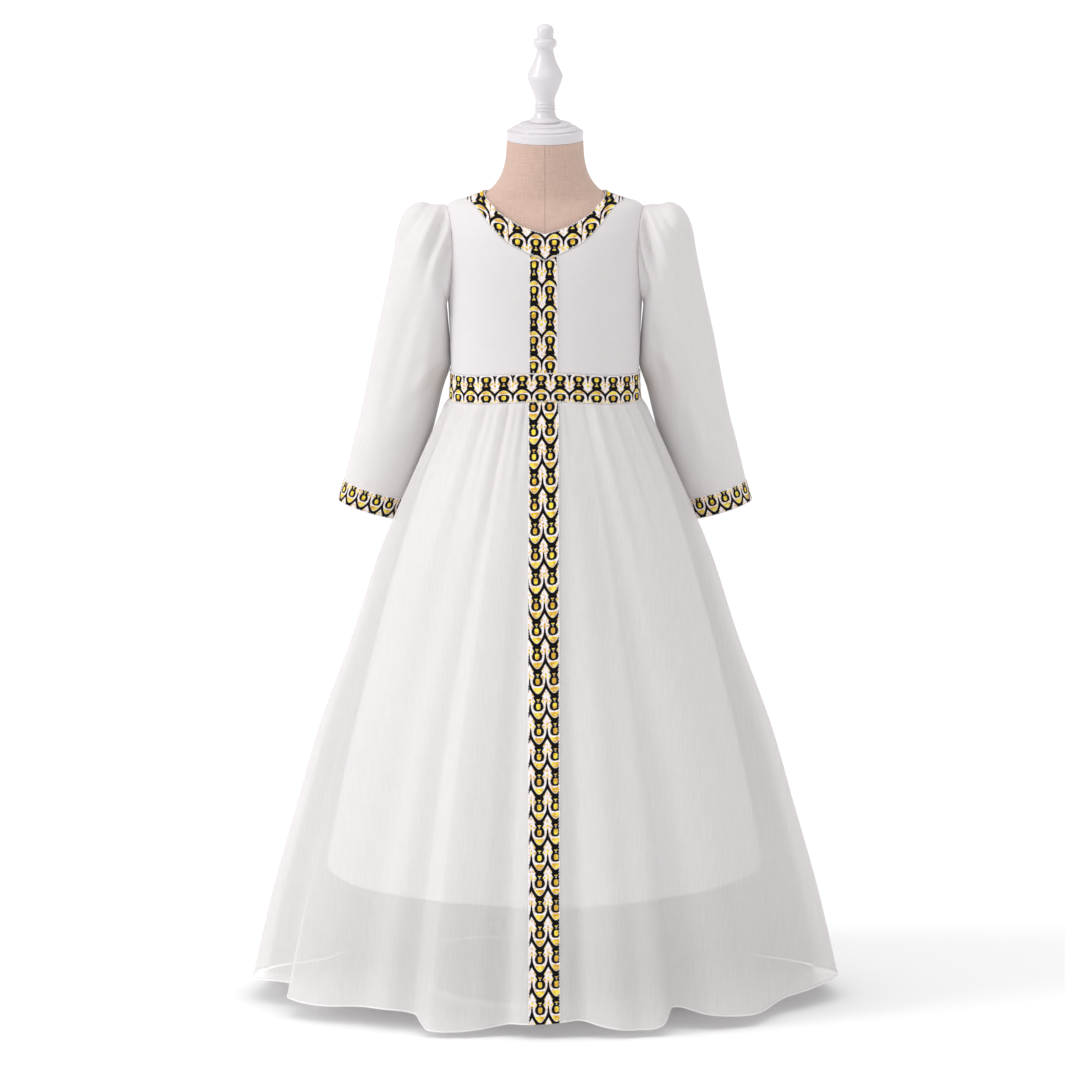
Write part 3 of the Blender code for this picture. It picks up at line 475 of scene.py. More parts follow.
def puckers(across, down, step, reach, length):
    """Small uneven gathers along a seam, which fade out below it."""
    wave = np.sin(2 * math.pi * across / step + 1.4 * np.sin(across * 0.23) + 0.8 * np.sin(across * 0.091))
    fade = smooth(1 - down / length) * (0.75 + 0.25 * np.sin(across * 0.31))
    return reach * wave * fade


def grid_normals(points, closed=False, middle=None):
    """The direction out of each point of a grid, away from the Z axis or from a row's middle."""
    if closed:
        across = np.roll(points, -1, 1) - np.roll(points, 1, 1)
    else:
        across = np.gradient(points, axis=1)
    out = unit(np.cross(across, np.gradient(points, axis=0)))
    aside = points - middle if middle is not None else points * (1, 1, 0)
    return out if (out * aside).sum() > 0 else -out


def degrees_past(around, angle):
    """How many degrees a direction lies past an angle, from -180 to 180."""
    return (np.degrees(around) - angle + 180) % 360 - 180


def skirt_growth(share, start):
    return np.clip((share - start) / (1 - start), 0.0, 1.0) ** 0.8


def fold_reach(folds, around, share):
    """How far the folds move a skirt out, or in where negative."""
    reach = 0.0 * around
    for fold in folds:
        away = degrees_past(around, fold.angle)
        spread = np.where(away < 0, fold.before, fold.after)
        shape = np.cos(np.clip(away / spread, -1, 1) * SIDE) ** 2
        reach += fold.reach * skirt_growth(share, fold.start) * shape
    return reach


def gather_reach(around, share):
    """How far the gathers under the belt move the skirt out, or in where negative."""
    reach = 0.0 * around
    down = share * SKIRT_LENGTH
    for gather in SKIRT_GATHERS:
        along = np.clip(down / gather.length, 0.0, 1.0)
        away = degrees_past(around, gather.angle + gather.wander * along)
        width = gather.width * (0.75 + 0.5 * along)
        fade = smooth(down / 14.0) * (1 - smooth(along)) + 0.35 * (1 - smooth(down / 20.0))
        reach += gather.reach * fade * np.exp(-((away / width) ** 2))
    return reach


def hem_height(hem, around):
    """The height of a hem, on a smooth curve through its table."""
    angles, heights = np.array(hem).T
    slopes = np.gradient(heights, angles)
    angle = degrees_past(around, 0.0)
    k = np.clip(np.searchsorted(angles, angle) - 1, 0, len(angles) - 2)
    span = angles[k + 1] - angles[k]
    t = (angle - angles[k]) / span
    rise = heights[k + 1] - heights[k]
    first = slopes[k] * span
    last = slopes[k + 1] * span
    return heights[k] + t * (first + t * (3 * rise - 2 * first - last + t * (first + last - 2 * rise)))


def skirt_surface(rings, folds, hem, inset, gathered):
    """The inner face of a skirt, at an angle and a share of the way from the belt to the hem."""
    waist = at(FORM_RINGS, "height", belt_edge(SIDE, -BELT_HEIGHT / 2 - SEAM))
    out = waist[5] + inset
    rows = (SkirtRing(0.0, waist[1] + out, waist[2] + out, waist[3] + out, waist[4]), *rings)

    def point(around, share):
        _, half_width, front, back, roundness = at(rows, "share", share + 0 * around)
        distance = outline(around, half_width, front, back, roundness)
        distance = distance + fold_reach(folds, around, share)
        if gathered:
            distance = distance + gather_reach(around, share)
        top = belt_edge(around, -BELT_HEIGHT / 2 - SEAM)
        return polar(around, distance, mix(top, hem_height(hem, around), share))

    return point


outer_skirt = skirt_surface(SKIRT_RINGS, SKIRT_FOLDS, SKIRT_HEM, SKIRT_INSET, gathered=True)
inner_skirt = skirt_surface(LINING_RINGS, LINING_FOLDS, LINING_HEM, 0.0, gathered=False)


def zip_edge(surface, level, slot):
    """The angle at which a piece ends beside a slot down the centre back."""
    return BACK - np.arcsin(slot / 2 / surface(BACK + 0 * level, level)[..., 1])


def skirt_edge(surface, share, angle, inside):
    """The angle short of an edge by a length at the skirt's surface."""
    point = surface(angle + 0 * share, share)
    return angle - inside / np.linalg.norm(point[..., :2], axis=-1)


# Meshes

def put_in_place(name, mesh, replaced):
    """A finished piece, which rides on the gown's body in the place of a CAD node."""
    piece = bpy.data.objects.new(name, mesh)
    bpy.context.scene.collection.objects.link(piece)
    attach(piece, GOWN)
    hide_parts(replaced)


def mesh_of(name, points, faces, material, corner_uv=None, sharp=50.0):
    """A closed mesh with smooth faces, in metres, from points and pattern places in millimetres."""
    mesh = bpy.data.meshes.new(name)
    mesh.from_pydata((points.reshape(-1, 3) * MM).tolist(), [], faces)
    if corner_uv is not None:
        layer = mesh.uv_layers.new(name="cloth")
        layer.uv.foreach_set("vector", (corner_uv * MM).astype(np.float32).ravel())
    shape = bmesh.new()
    shape.from_mesh(mesh)
    bmesh.ops.recalc_face_normals(shape, faces=shape.faces)
    shape.to_mesh(mesh)
    shape.free()
    mesh.materials.append(material)
    mesh.shade_smooth()
    mesh.set_sharp_from_angle(angle=math.radians(sharp))
    return mesh


def quads(grid):
    """The four-cornered faces of a grid of numbers, as rows of four."""
    return np.stack((grid[:-1, :-1], grid[:-1, 1:], grid[1:, 1:], grid[1:, :-1]), -1).reshape(-1, 4)


def tube_faces(points):
    """The faces of a tube of rings of points, with both ends filled."""
    numbers = np.arange(points[..., 0].size).reshape(points.shape[:2])
    sides = quads(np.concatenate((numbers, numbers[:, :1]), 1)).tolist()
    return sides + [numbers[0].tolist(), numbers[-1].tolist()]


def cloth_wall(name, outer, thick, material, slot, closed=False, middle=None, uv=None, **marks):
    """A closed thin wall of cloth under a grid of points, joined round its last column where closed.

    The piece is named for the CAD node it replaces, with one more word. uv gives each point's distance
    across and up the cloth, with one more column where closed. Marks are kept as attributes: hem is
    1 at a turned hem or a plain edge, fullness 1 where the cloth is dense.
    """
    out = grid_normals(outer, closed, middle)
    inner = outer - out * np.asarray(thick, float).reshape(-1, 1, 1)
    across, up = lengths(outer) if uv is None else uv
    numbers = np.arange(2 * outer[..., 0].size).reshape(2, *outer.shape[:2])
    if closed:
        numbers = np.concatenate((numbers, numbers[:, :, :1]), 2)
    places = np.arange(across.size).reshape(across.shape)
    rims = [(row, slice(None)) for row in (0, -1)]
    if not closed:
        rims += [(slice(None), column) for column in (0, -1)]
    faces = [quads(numbers[0]), quads(numbers[1])]
    corners = [quads(places), quads(places)]
    for rim in rims:
        faces.append(quads(np.stack((numbers[0][rim], numbers[1][rim]))))
        corners.append(quads(np.stack((places[rim], places[rim]))))
    flat = np.stack((across.ravel(), up.ravel()), -1)[np.concatenate(corners)]
    mesh = mesh_of(name, np.stack((inner, outer)), np.concatenate(faces).tolist(), material, flat)
    for mark, shares in marks.items():
        shares = np.broadcast_to(shares, (2, *outer.shape[:2]))
        layer = mesh.attributes.new(mark, "FLOAT", "POINT")
        layer.data.foreach_set("value", shares.astype(np.float32).ravel())
    put_in_place(name, mesh, name.rsplit("_", 1)[0])


def other_side(places):
    """The same (around, level) places on the -X side, still running the same way around."""
    around, level = places
    return -around[:, ::-1], level[:, ::-1]


# Materials

class Web:
    """The nodes of one shader or geometry tree, joined as they are added."""

    def __init__(self, tree):
        self.tree = tree

    def node(self, kind, inputs=(), **settings):
        """A node with its settings, and its inputs given by name or number."""
        made = self.tree.nodes.new(kind)
        for name, value in settings.items():
            setattr(made, name, value)
        for name, value in dict(inputs).items():
            self.feed(made.inputs[name], value)
        return made

    def feed(self, socket, value):
        """Joins a socket to another or sets it; a colour is given as red, green and blue."""
        if isinstance(value, bpy.types.NodeSocket):
            self.tree.links.new(value, socket)
        elif socket.type == "RGBA":
            socket.default_value = (*value, 1.0)
        else:
            socket.default_value = value

    def group(self, tree, inputs):
        return self.node("ShaderNodeGroup", inputs, node_tree=tree).outputs

    def math(self, operation, *values):
        return self.node("ShaderNodeMath", enumerate(values), operation=operation).outputs[0]

    def add(self, a, b):
        return self.math("ADD", a, b)

    def less(self, a, b):
        return self.math("SUBTRACT", a, b)

    def times(self, a, b):
        return self.math("MULTIPLY", a, b)

    def ramp(self, value, low, high, to_low=0.0, to_high=1.0):
        """Rises smoothly from one number to another as a value goes from low to high."""
        inputs = {"Value": value, "From Min": low, "From Max": high, "To Min": to_low, "To Max": to_high}
        made = self.node("ShaderNodeMapRange", inputs, interpolation_type="SMOOTHSTEP")
        return made.outputs["Result"]

    def blend(self, share, a, b):
        """A colour between two colours."""
        made = self.node("ShaderNodeMix", {"Factor": share}, data_type="RGBA")
        self.feed(made.inputs[6], a)
        self.feed(made.inputs[7], b)
        return made.outputs[2]

    def noise(self, place, scale, detail=2.0):
        inputs = {"Vector": place, "Scale": scale, "Detail": detail}
        return self.node("ShaderNodeTexNoise", inputs).outputs["Fac"]

    def stretched(self, place, scale):
        return self.node("ShaderNodeMapping", {"Vector": place, "Scale": scale}).outputs["Vector"]

    def streaks(self, place, x, y, z=1.0, detail=2.0):
        """Noise with this many features to a metre each way."""
        return self.noise(self.stretched(place, (x, y, z)), 1.0, detail)

    def off_whole(self, value):
        """How far a value is past the nearest whole number, below 0 where short of it."""
        return self.less(self.math("FRACT", self.add(value, 0.5)), 0.5)

    def mark(self, name):
        """A mark that cloth_wall kept."""
        return self.node("ShaderNodeAttribute", attribute_name=name).outputs["Fac"]


def shared(name, inputs, outputs):
    """A shader group with number, colour or vector sockets, and its web, inputs and output node."""
    tree = bpy.data.node_groups.new(name, "ShaderNodeTree")
    kinds = {"number": "NodeSocketFloat", "colour": "NodeSocketColor", "vector": "NodeSocketVector"}
    for socket, kind in inputs.items():
        tree.interface.new_socket(socket, in_out="INPUT", socket_type=kinds[kind])
    for socket, kind in outputs.items():
        tree.interface.new_socket(socket, in_out="OUTPUT", socket_type=kinds[kind])
    web = Web(tree)
    return web, web.node("NodeGroupInput").outputs, web.node("NodeGroupOutput").inputs


def woven_group():
    """Plain weave: threads over and under each other, with uneven thread thickness."""
    inputs = {"Place": "vector", "Thread": "number", "Unevenness": "number"}
    web, given, result = shared("plain_weave", inputs, {"Height": "number", "Tone": "number"})
    parts = web.node("ShaderNodeSeparateXYZ", {0: given["Place"]}).outputs
    waves = []
    for k in (0, 1):
        drift = web.streaks(given["Place"], *((900.0, 60.0) if k else (60.0, 900.0)))
        run = web.math("DIVIDE", parts[k], given["Thread"])
        run = web.add(run, web.times(drift, given["Unevenness"]))
        waves.append(web.math("ABSOLUTE", web.math("SINE", web.times(run, math.pi))))
    height = web.math("MAXIMUM", *waves)
    web.feed(result["Height"], height)
    web.feed(result["Tone"], web.streaks(given["Place"], 40.0, 400.0, detail=3.0))
    return web.tree


def trim_group():
    """Columns of arches in black, with gold crescents and a black keyhole inside each.

    x runs across the columns and y from an arch's crown into it, in metres. The motif is drawn in a
    cell of CELL_WIDTH by CELL_HEIGHT, which Pitch and Repeat stretch; Core is how deep the keyhole's
    eye lies in it.
    """
    inputs = {"Place": "vector", **dict.fromkeys(("Pitch", "Repeat", "Shift", "Start", "Core"), "number")}
    outputs = dict.fromkeys(("Black", "Gold", "Height"), "number")
    web, given, result = shared("arch_trim", inputs, outputs)
    parts = web.node("ShaderNodeSeparateXYZ", {0: given["Place"]}).outputs
    run = web.add(web.math("DIVIDE", parts[0], given["Pitch"]), given["Shift"])
    side = web.math("ABSOLUTE", web.times(web.off_whole(run), CELL_WIDTH))
    rise = web.add(web.math("DIVIDE", parts[1], given["Repeat"]), given["Start"])
    fallen = web.times(web.math("FRACT", rise), CELL_HEIGHT)
    crown = web.ramp(fallen, 0.0, given["Core"], 0.0, CORE_DEPTH)
    foot = web.ramp(fallen, given["Core"], CELL_HEIGHT, 0.0, CELL_HEIGHT - CORE_DEPTH)
    deep = web.add(crown, foot)
    share = web.times(side, 2 / CELL_WIDTH)
    fall = web.times(web.math("POWER", share, 2.2), ARCH_DEPTH)
    slope = web.times(web.math("POWER", share, 1.2), 2 * 2.2 * ARCH_DEPTH / CELL_WIDTH)
    steep = web.math("SQRT", web.add(web.times(slope, slope), 1.0))
    turns = web.times(web.less(deep, fall), 1 / CELL_HEIGHT)
    inside = web.math("DIVIDE", web.times(web.off_whole(turns), CELL_HEIGHT), steep)

    def within(value, low, high):
        return web.times(web.ramp(value, low - 0.2, low + 0.2), web.ramp(value, high + 0.2, high - 0.2))

    def spot(x, y, across, high):
        """An ellipse in the cell, which may lie over the join between two cells."""
        a = web.math("DIVIDE", web.less(side, x), across)
        turns = web.times(web.add(deep, CELL_HEIGHT / 2 - y), 1 / CELL_HEIGHT)
        b = web.times(web.less(web.math("FRACT", turns), 0.5), CELL_HEIGHT / high)
        return web.ramp(web.add(web.times(a, a), web.times(b, b)), 1.3, 0.75)

    def joined(*masks):
        total = masks[0]
        for mask in masks[1:]:
            total = web.math("MAXIMUM", total, mask)
        return total

    line = web.ramp(web.math("ABSOLUTE", inside), 2.0, 1.5)
    bell = web.add(3.5, web.times(web.math("ABSOLUTE", web.less(web.times(deep, 0.25), 5.9)), 1.5))
    neck = web.times(within(deep, 16.5, 40.0), web.ramp(web.less(side, bell), 0.3, -0.3))
    bulb = joined(neck, spot(0.0, 17.0, 5.7, 4.2))
    edge = web.ramp(web.less(side, 2.2), 0.4, -0.2)
    low_gold = web.times(within(inside, 2.4, 5.2), web.ramp(deep, 12.0, 8.5))
    narrow = web.less(side, web.times(deep, 0.42))
    high_gold = web.times(within(deep, 6.1, 10.6), web.ramp(narrow, 0.3, -0.3))
    core = joined(spot(0.0, 17.2, 2.3, 2.0), spot(0.0, 26.6, 1.8, 1.3))
    rows = (spot(5.4, 22.9, 1.5, 1.7), spot(5.4, 1.6, 1.3, 1.4))
    borders = (spot(9.4, 20.6, 1.1, 2.2), spot(9.4, 26.0, 1.1, 2.2))
    thread = web.times(web.times(edge, within(side, -1.0, 0.7)), within(deep, 21.5, 25.2))
    black = joined(line, web.times(bulb, web.less(1.0, joined(core, web.times(thread, 0.5)))))
    gold = joined(web.times(joined(low_gold, high_gold), web.less(1.0, bulb)), core, *rows, *borders)
    web.feed(result["Black"], black)
    web.feed(result["Gold"], gold)
    web.feed(result["Height"], joined(black, gold))
    return web.tree


def material_of(name, roughness, sheen=0.0, metallic=0.0, coat=0.0):
    """A material with its web and its shader."""
    made = bpy.data.materials.new(name)
    made.use_nodes = True
    shader = made.node_tree.nodes["Principled BSDF"]
    shader.inputs["Roughness"].default_value = roughness
    shader.inputs["Metallic"].default_value = metallic
    shader.inputs["Sheen Weight"].default_value = sheen
    shader.inputs["Sheen Roughness"].default_value = 0.5
    shader.inputs["Coat Weight"].default_value = coat
    return made, Web(made.node_tree), shader


def bumped(web, shader, height, distance, strength=1.0):
    inputs = {"Height": height, "Distance": distance, "Strength": strength}
    web.feed(shader.inputs["Normal"], web.node("ShaderNodeBump", inputs).outputs["Normal"])


def cloth_place(web):
    return web.node("ShaderNodeUVMap", uv_map="cloth").outputs["UV"]


def woven(web, place, thread, unevenness):
    made = web.group(WEAVE, {"Place": place, "Thread": thread, "Unevenness": unevenness})
    return made["Height"], made["Tone"]


def cloth_material(name, pale, shaded, thread, solidity=None, hem_solidity=0.85):
    """White cloth in a plain weave.

    Where solidity is given it is sheer, but for its turned hem, and less so where it lies fuller.
    """
    made, web, shader = material_of(name, 0.82, sheen=0.15)
    place = cloth_place(web)
    height, tone = woven(web, place, thread, 0.25)
    colour = web.blend(web.ramp(tone, 0.3, 0.7), shaded, pale)
    web.feed(shader.inputs["Base Color"], colour)
    bumped(web, shader, height, 0.00003, 0.5)
    if solidity is not None:
        hem = web.mark("hem")
        thin = web.ramp(web.streaks(place, 900.0, 30.0), 0.3, 0.7, -0.015, 0.015)
        base = web.add(web.add(thin, solidity), web.times(web.mark("fullness"), FULLER))
        alpha = web.add(base, web.times(hem, web.less(hem_solidity, base)))
        web.feed(shader.inputs["Alpha"], alpha)
    return made


def trim_material(name, pitch, repeat, core, shift=0.0, start=0.0, crowns_up=True):
    """Woven trim in white, black and gold, with white along its edges."""
    made, web, shader = material_of(name, 0.85)
    shader.inputs["Specular IOR Level"].default_value = 0.12
    place = cloth_place(web)
    turned = web.stretched(place, (1.0, -1.0 if crowns_up else 1.0, 1.0))
    inputs = {
        "Place": turned, "Pitch": pitch, "Repeat": repeat, "Shift": shift, "Start": start, "Core": core,
    }
    motif = web.group(TRIM, inputs)
    height, tone = woven(web, place, 0.0005, 0.3)
    stains = web.ramp(web.streaks(place, 330.0, 330.0), 0.5, 0.64)
    ground = web.blend(stains, (0.88, 0.84, 0.87), (0.72, 0.46, 0.22))
    ground = web.blend(web.times(tone, 0.3), ground, (0.74, 0.70, 0.72))
    warmth = web.ramp(web.streaks(place, 110.0, 110.0), 0.38, 0.62)
    gold = web.blend(warmth, (0.66, 0.36, 0.03), (0.90, 0.74, 0.06))
    colour = web.blend(motif["Gold"], ground, gold)
    colour = web.blend(motif["Black"], colour, (0.004, 0.003, 0.004))
    colour = web.blend(web.ramp(web.mark("hem"), 0.2, 0.8), colour, (0.90, 0.88, 0.90))
    web.feed(shader.inputs["Base Color"], colour)
    raised = web.add(web.times(height, 0.3), motif["Height"])
    bumped(web, shader, raised, 0.0002)
    return made


def linen_material():
    """Natural linen with slubs, and the fine seam down the front of the dress form."""
    made, web, shader = material_of("linen", 0.92, sheen=0.2)
    place = cloth_place(web)
    height, tone = woven(web, place, 0.0007, 0.5)
    slubs = web.streaks(place, 1400.0, 60.0, detail=3.0)
    ribs = web.streaks(place, 60.0, 1400.0, detail=3.0)
    mixed = web.times(web.add(slubs, ribs), 0.5)
    colour = web.blend(web.ramp(mixed, 0.38, 0.62), (0.555, 0.39, 0.317), (0.665, 0.48, 0.403))
    across = web.node("ShaderNodeSeparateXYZ", {0: place}).outputs[0]
    seam = web.ramp(web.math("ABSOLUTE", across), 0.0008, 0.0003)
    colour = web.blend(web.times(seam, 0.25), colour, (0.38, 0.27, 0.21))
    web.feed(shader.inputs["Base Color"], colour)
    raised = web.add(web.add(height, web.times(mixed, 2.0)), web.times(seam, -3.0))
    bumped(web, shader, raised, 0.00015)
    return made


def paint_material(name, colour, roughness, texture):
    """Sprayed paint, with a faint unevenness and soft worn patches in its gloss."""
    made, web, shader = material_of(name, roughness, coat=0.25)
    place = web.node("ShaderNodeTexCoord").outputs["Object"]
    skin = web.noise(place, 500.0, 2.0)
    patches = web.noise(place, 30.0, 3.0)
    duller = tuple(0.93 * part for part in colour)
    web.feed(shader.inputs["Base Color"], web.blend(patches, duller, colour))
    web.feed(shader.inputs["Roughness"], web.ramp(patches, 0.3, 0.7, roughness - 0.06, roughness + 0.08))
    bumped(web, shader, skin, texture)
    return made


def metal_material():
    """Bright die-cast metal with fine scratches."""
    made, web, shader = material_of("zip_metal", 0.3, metallic=1.0)
    place = web.node("ShaderNodeTexCoord").outputs["Object"]
    scratches = web.streaks(place, 400.0, 400.0, 6000.0, detail=4.0)
    colour = web.blend(scratches, (0.62, 0.62, 0.64), (0.84, 0.84, 0.85))
    web.feed(shader.inputs["Base Color"], colour)
    web.feed(shader.inputs["Roughness"], web.ramp(scratches, 0.3, 0.7, 0.22, 0.42))
    bumped(web, shader, scratches, 0.00003)
    return made


WEAVE = woven_group()
TRIM = trim_group()
WHITE_CLOTH = cloth_material("white_cloth", (0.705, 0.677, 0.682), (0.69, 0.663, 0.667), 0.00045)
LINING_CLOTH = cloth_material("lining_cloth", (0.80, 0.78, 0.782), (0.78, 0.76, 0.762), 0.0004)
SLEEVE_CLOTH = cloth_material("sleeve_voile", (0.86, 0.832, 0.834), (0.845, 0.817, 0.82), 0.00035, 0.72)
SKIRT_CLOTH = cloth_material("skirt_voile", (0.90, 0.872, 0.874), (0.885, 0.857, 0.86), 0.00035, 0.44)
THREAD = cloth_material("sewing_thread", (0.84, 0.82, 0.81), (0.74, 0.72, 0.71), 0.0003)
BODICE_BAND = trim_material("bodice_band_trim", 0.0191, 0.0293, 12.2, shift=0.603, start=0.755)
SKIRT_BAND = trim_material(
    "skirt_band_trim", 0.0188, 0.0289, 18.1, shift=0.245, start=0.049, crowns_up=False,
)
NECK_TRIM = trim_material("neckband_trim", NECK_PITCH * MM, 0.0244, 14.0, shift=0.5)
BELT_TRIM = trim_material("belt_trim", 0.0217, 0.0213, 13.9, shift=0.212, start=0.789)
CUFF_TRIM = trim_material("cuff_trim", 0.0158, 0.0272, 17.0, start=-0.05, crowns_up=False)
LINEN = linen_material()
WHITE_PAINT = paint_material("white_paint", (0.71, 0.68, 0.71), 0.34, 0.00004)
PAINTED_STEEL = paint_material("painted_steel", (0.80, 0.80, 0.80), 0.42, 0.0001)
ZIP_NYLON = paint_material("zip_nylon", (0.84, 0.84, 0.83), 0.45, 0.00003)
ZIP_METAL = metal_material()


# The pieces

def body_cloth(places, rise):
    """Points of cloth on the upper body, this far out from the cloth's inner face."""
    around, level = places
    return moved_out(cloth_point, around, level, rise)


def bodice_places(left, right, columns):
    """A grid of places on the bodice between two side edges, from the belt to the neckband."""
    low = np.linspace(left[0, 0], right[0, 0], columns)
    high = np.linspace(left[-1, 0], right[-1, 0], columns)
    bottom = np.stack((low, level_of(belt_edge(low, BELT_HEIGHT / 2 + SEAM))), -1)
    top = np.stack((high, neck_level(high, "outer")), -1)
    return np.moveaxis(patch(bottom, top, left, right), -1, 0)


def bodice_front_places(columns):
    right = side_edge(behind=False)
    return bodice_places(right * (-1, 1), right, columns)


def bodice_back_places(columns):
    """The +X half of the back, from the side to the zip."""
    left = side_edge(behind=True)
    low = level_of(belt_edge(BACK, BELT_HEIGHT / 2 + SEAM))
    level = mix(low, neck_level(BACK, "outer"), (left[:, 1] - left[0, 1]) / (left[-1, 1] - left[0, 1]))
    right = np.stack((zip_edge(cloth_point, level, ZIP_SLOT), level), -1)
    return bodice_places(left, right, columns)


def neckband_lengths(points):
    """Distances for the front's pattern: its columns stay upright, each as high as the band's edge there."""
    x = points[..., 0]
    _, up = lengths(points)
    column = np.round(x / NECK_PITCH + 0.5)
    inner = points[-1]
    order = np.argsort(inner[:, 0])
    middle = np.interp((column - 0.5) * NECK_PITCH, inner[order, 0], inner[order, 2])
    number = (np.abs(column - 0.5) - 0.5).astype(int)
    stagger = np.array(NECK_STAGGER)[np.clip(number, 0, len(NECK_STAGGER) - 1)]
    return x, up - up[-1] - (middle - inner[:, 2]) + stagger


def neckband_places(behind, columns, shares):
    share = mix(0.02, 1.0, shares)[:, None]
    side_level = mix(level_of(NECK_BACK[0].outer), level_of(NECK_BACK[0].inner), share)
    if behind:
        back_level = mix(neck_level(BACK, "outer"), neck_level(BACK, "inner"), share)
        start, end = side_seam(side_level, True), zip_edge(cloth_point, back_level, ZIP_SLOT)
    else:
        start, end = -side_seam(side_level), side_seam(side_level)
    around = mix(start, end, np.linspace(0.0, 1.0, columns))
    return around, mix(neck_level(around, "outer"), neck_level(around, "inner"), share)


def bodice_band_places(columns, rows):
    """The centre band on the bodice, with columns at these shares of its width."""
    rise = BELT_HEIGHT / 2 + SEAM
    share = np.linspace(0.0, 1.0, rows)[:, None]
    middle = mix(level_of(belt_edge(0.0, rise)), neck_level(0.0, "outer"), share)
    left, right = -angle_at_width(middle, -BODICE_BAND_LEFT), angle_at_width(middle, BODICE_BAND_RIGHT)
    around = mix(left, right, columns)
    return around, mix(level_of(belt_edge(around, rise)), neck_level(around, "outer"), share)


def edge_rows(length, count, lip=1.2):
    """Shares of a length with more rows near its two ends."""
    ends = np.array((0.0, 0.35, 0.8, lip)) / length
    return np.concatenate((ends, np.linspace(ends[-1], 1 - ends[-1], count)[1:-1], 1 - ends[::-1]))


def plain_edges(shares, length, width=0.5):
    """1 within a width of either end of a length."""
    away = np.minimum(shares, 1 - shares) * length
    return np.where(away < width, 1.0, 0.0)


def both_halves(name, right, make):
    """The +X piece and its mirror."""
    for side, places in (("right", right), ("left", other_side(right))):
        make(f"{name}_{side}", places)


def laid_along_paths():
    """The node tree that lays one small rounded shape after another along paths."""
    tree = bpy.data.node_groups.new("laid_along_paths", "GeometryNodeTree")
    face = tree.interface
    face.new_socket("Paths", in_out="INPUT", socket_type="NodeSocketGeometry")
    for size in ("Spacing", "Length", "Width", "Height"):
        face.new_socket(size, in_out="INPUT", socket_type="NodeSocketFloat")
    face.new_socket("Material", in_out="INPUT", socket_type="NodeSocketMaterial")
    face.new_socket("Pieces", in_out="OUTPUT", socket_type="NodeSocketGeometry")

    web = Web(tree)

    def node(kind, inputs=(), **settings):
        return web.node(kind, inputs, **settings).outputs

    given = node("NodeGroupInput")
    curve = node("GeometryNodeMeshToCurve", {"Mesh": given["Paths"]})["Curve"]
    spaced = {"Curve": curve, "Length": given["Spacing"]}
    points = node("GeometryNodeResampleCurve", spaced, mode="LENGTH")["Curve"]
    tangent = node("GeometryNodeInputTangent")["Tangent"]
    out = node("GeometryNodeInputNamedAttribute", {"Name": "out"}, data_type="FLOAT_VECTOR")["Attribute"]
    turn = node("FunctionNodeAlignRotationToVector", {"Vector": tangent}, axis="X")["Rotation"]
    level = {"Rotation": turn, "Vector": out}
    turn = node("FunctionNodeAlignRotationToVector", level, axis="Z", pivot_axis="X")["Rotation"]
    bead = node("GeometryNodeMeshUVSphere", {"Segments": 6, "Rings": 4, "Radius": 0.5})["Mesh"]
    size = node("ShaderNodeCombineXYZ", {"X": given["Length"], "Y": given["Width"], "Z": given["Height"]})
    placed = {"Points": points, "Instance": bead, "Rotation": turn, "Scale": size["Vector"]}
    laid = node("GeometryNodeInstanceOnPoints", placed)["Instances"]
    real = node("GeometryNodeRealizeInstances", {"Geometry": laid})["Geometry"]
    soft = node("GeometryNodeSetShadeSmooth", {"Geometry": real})["Geometry"]
    dyed = node("GeometryNodeSetMaterial", {"Geometry": soft, "Material": given["Material"]})["Geometry"]
    node("NodeGroupOutput", {"Pieces": dyed})
    return tree


ALONG = laid_along_paths()
STITCH_LINES = []


def sewn(points, rows=(), columns=(), middle=None):
    """Keeps lines of stitches along some of a piece's rows and columns."""
    out = grid_normals(points, middle=middle)
    STITCH_LINES.extend((points[row], out[row]) for row in rows)
    STITCH_LINES.extend((points[:, column], out[:, column]) for column in columns)


def laid_pieces(name, lines, sizes, material):
    """Small pieces along lines of (points, outward directions), with sizes in metres by input name."""
    points = np.concatenate([line for line, _ in lines]) * MM
    outs = np.concatenate([out for _, out in lines])
    edges = []
    first = 0
    for line, _ in lines:
        edges += [(first + k, first + k + 1) for k in range(len(line) - 1)]
        first += len(line)
    mesh = bpy.data.meshes.new(name)
    mesh.from_pydata(points.tolist(), edges, [])
    layer = mesh.attributes.new("out", "FLOAT_VECTOR", "POINT")
    layer.data.foreach_set("vector", outs.astype(np.float32).ravel())
    piece = bpy.data.objects.new(name, mesh)
    bpy.context.scene.collection.objects.link(piece)
    laying = piece.modifiers.new("laid", "NODES")
    laying.node_group = ALONG
    for item in ALONG.interface.items_tree:
        if item.name in sizes:
            laying[item.identifier] = sizes[item.name]
        if item.name == "Material":
            laying[item.identifier] = material
    ready = piece.evaluated_get(bpy.context.evaluated_depsgraph_get())
    piece.data = bpy.data.meshes.new_from_object(ready)
    piece.modifiers.clear()
    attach(piece, GOWN)


def make_stitches():
    sizes = {"Spacing": 0.0034, "Length": 0.0023, "Width": 0.0005, "Height": 0.0004}
    laid_pieces("edge_stitches", STITCH_LINES, sizes, THREAD)


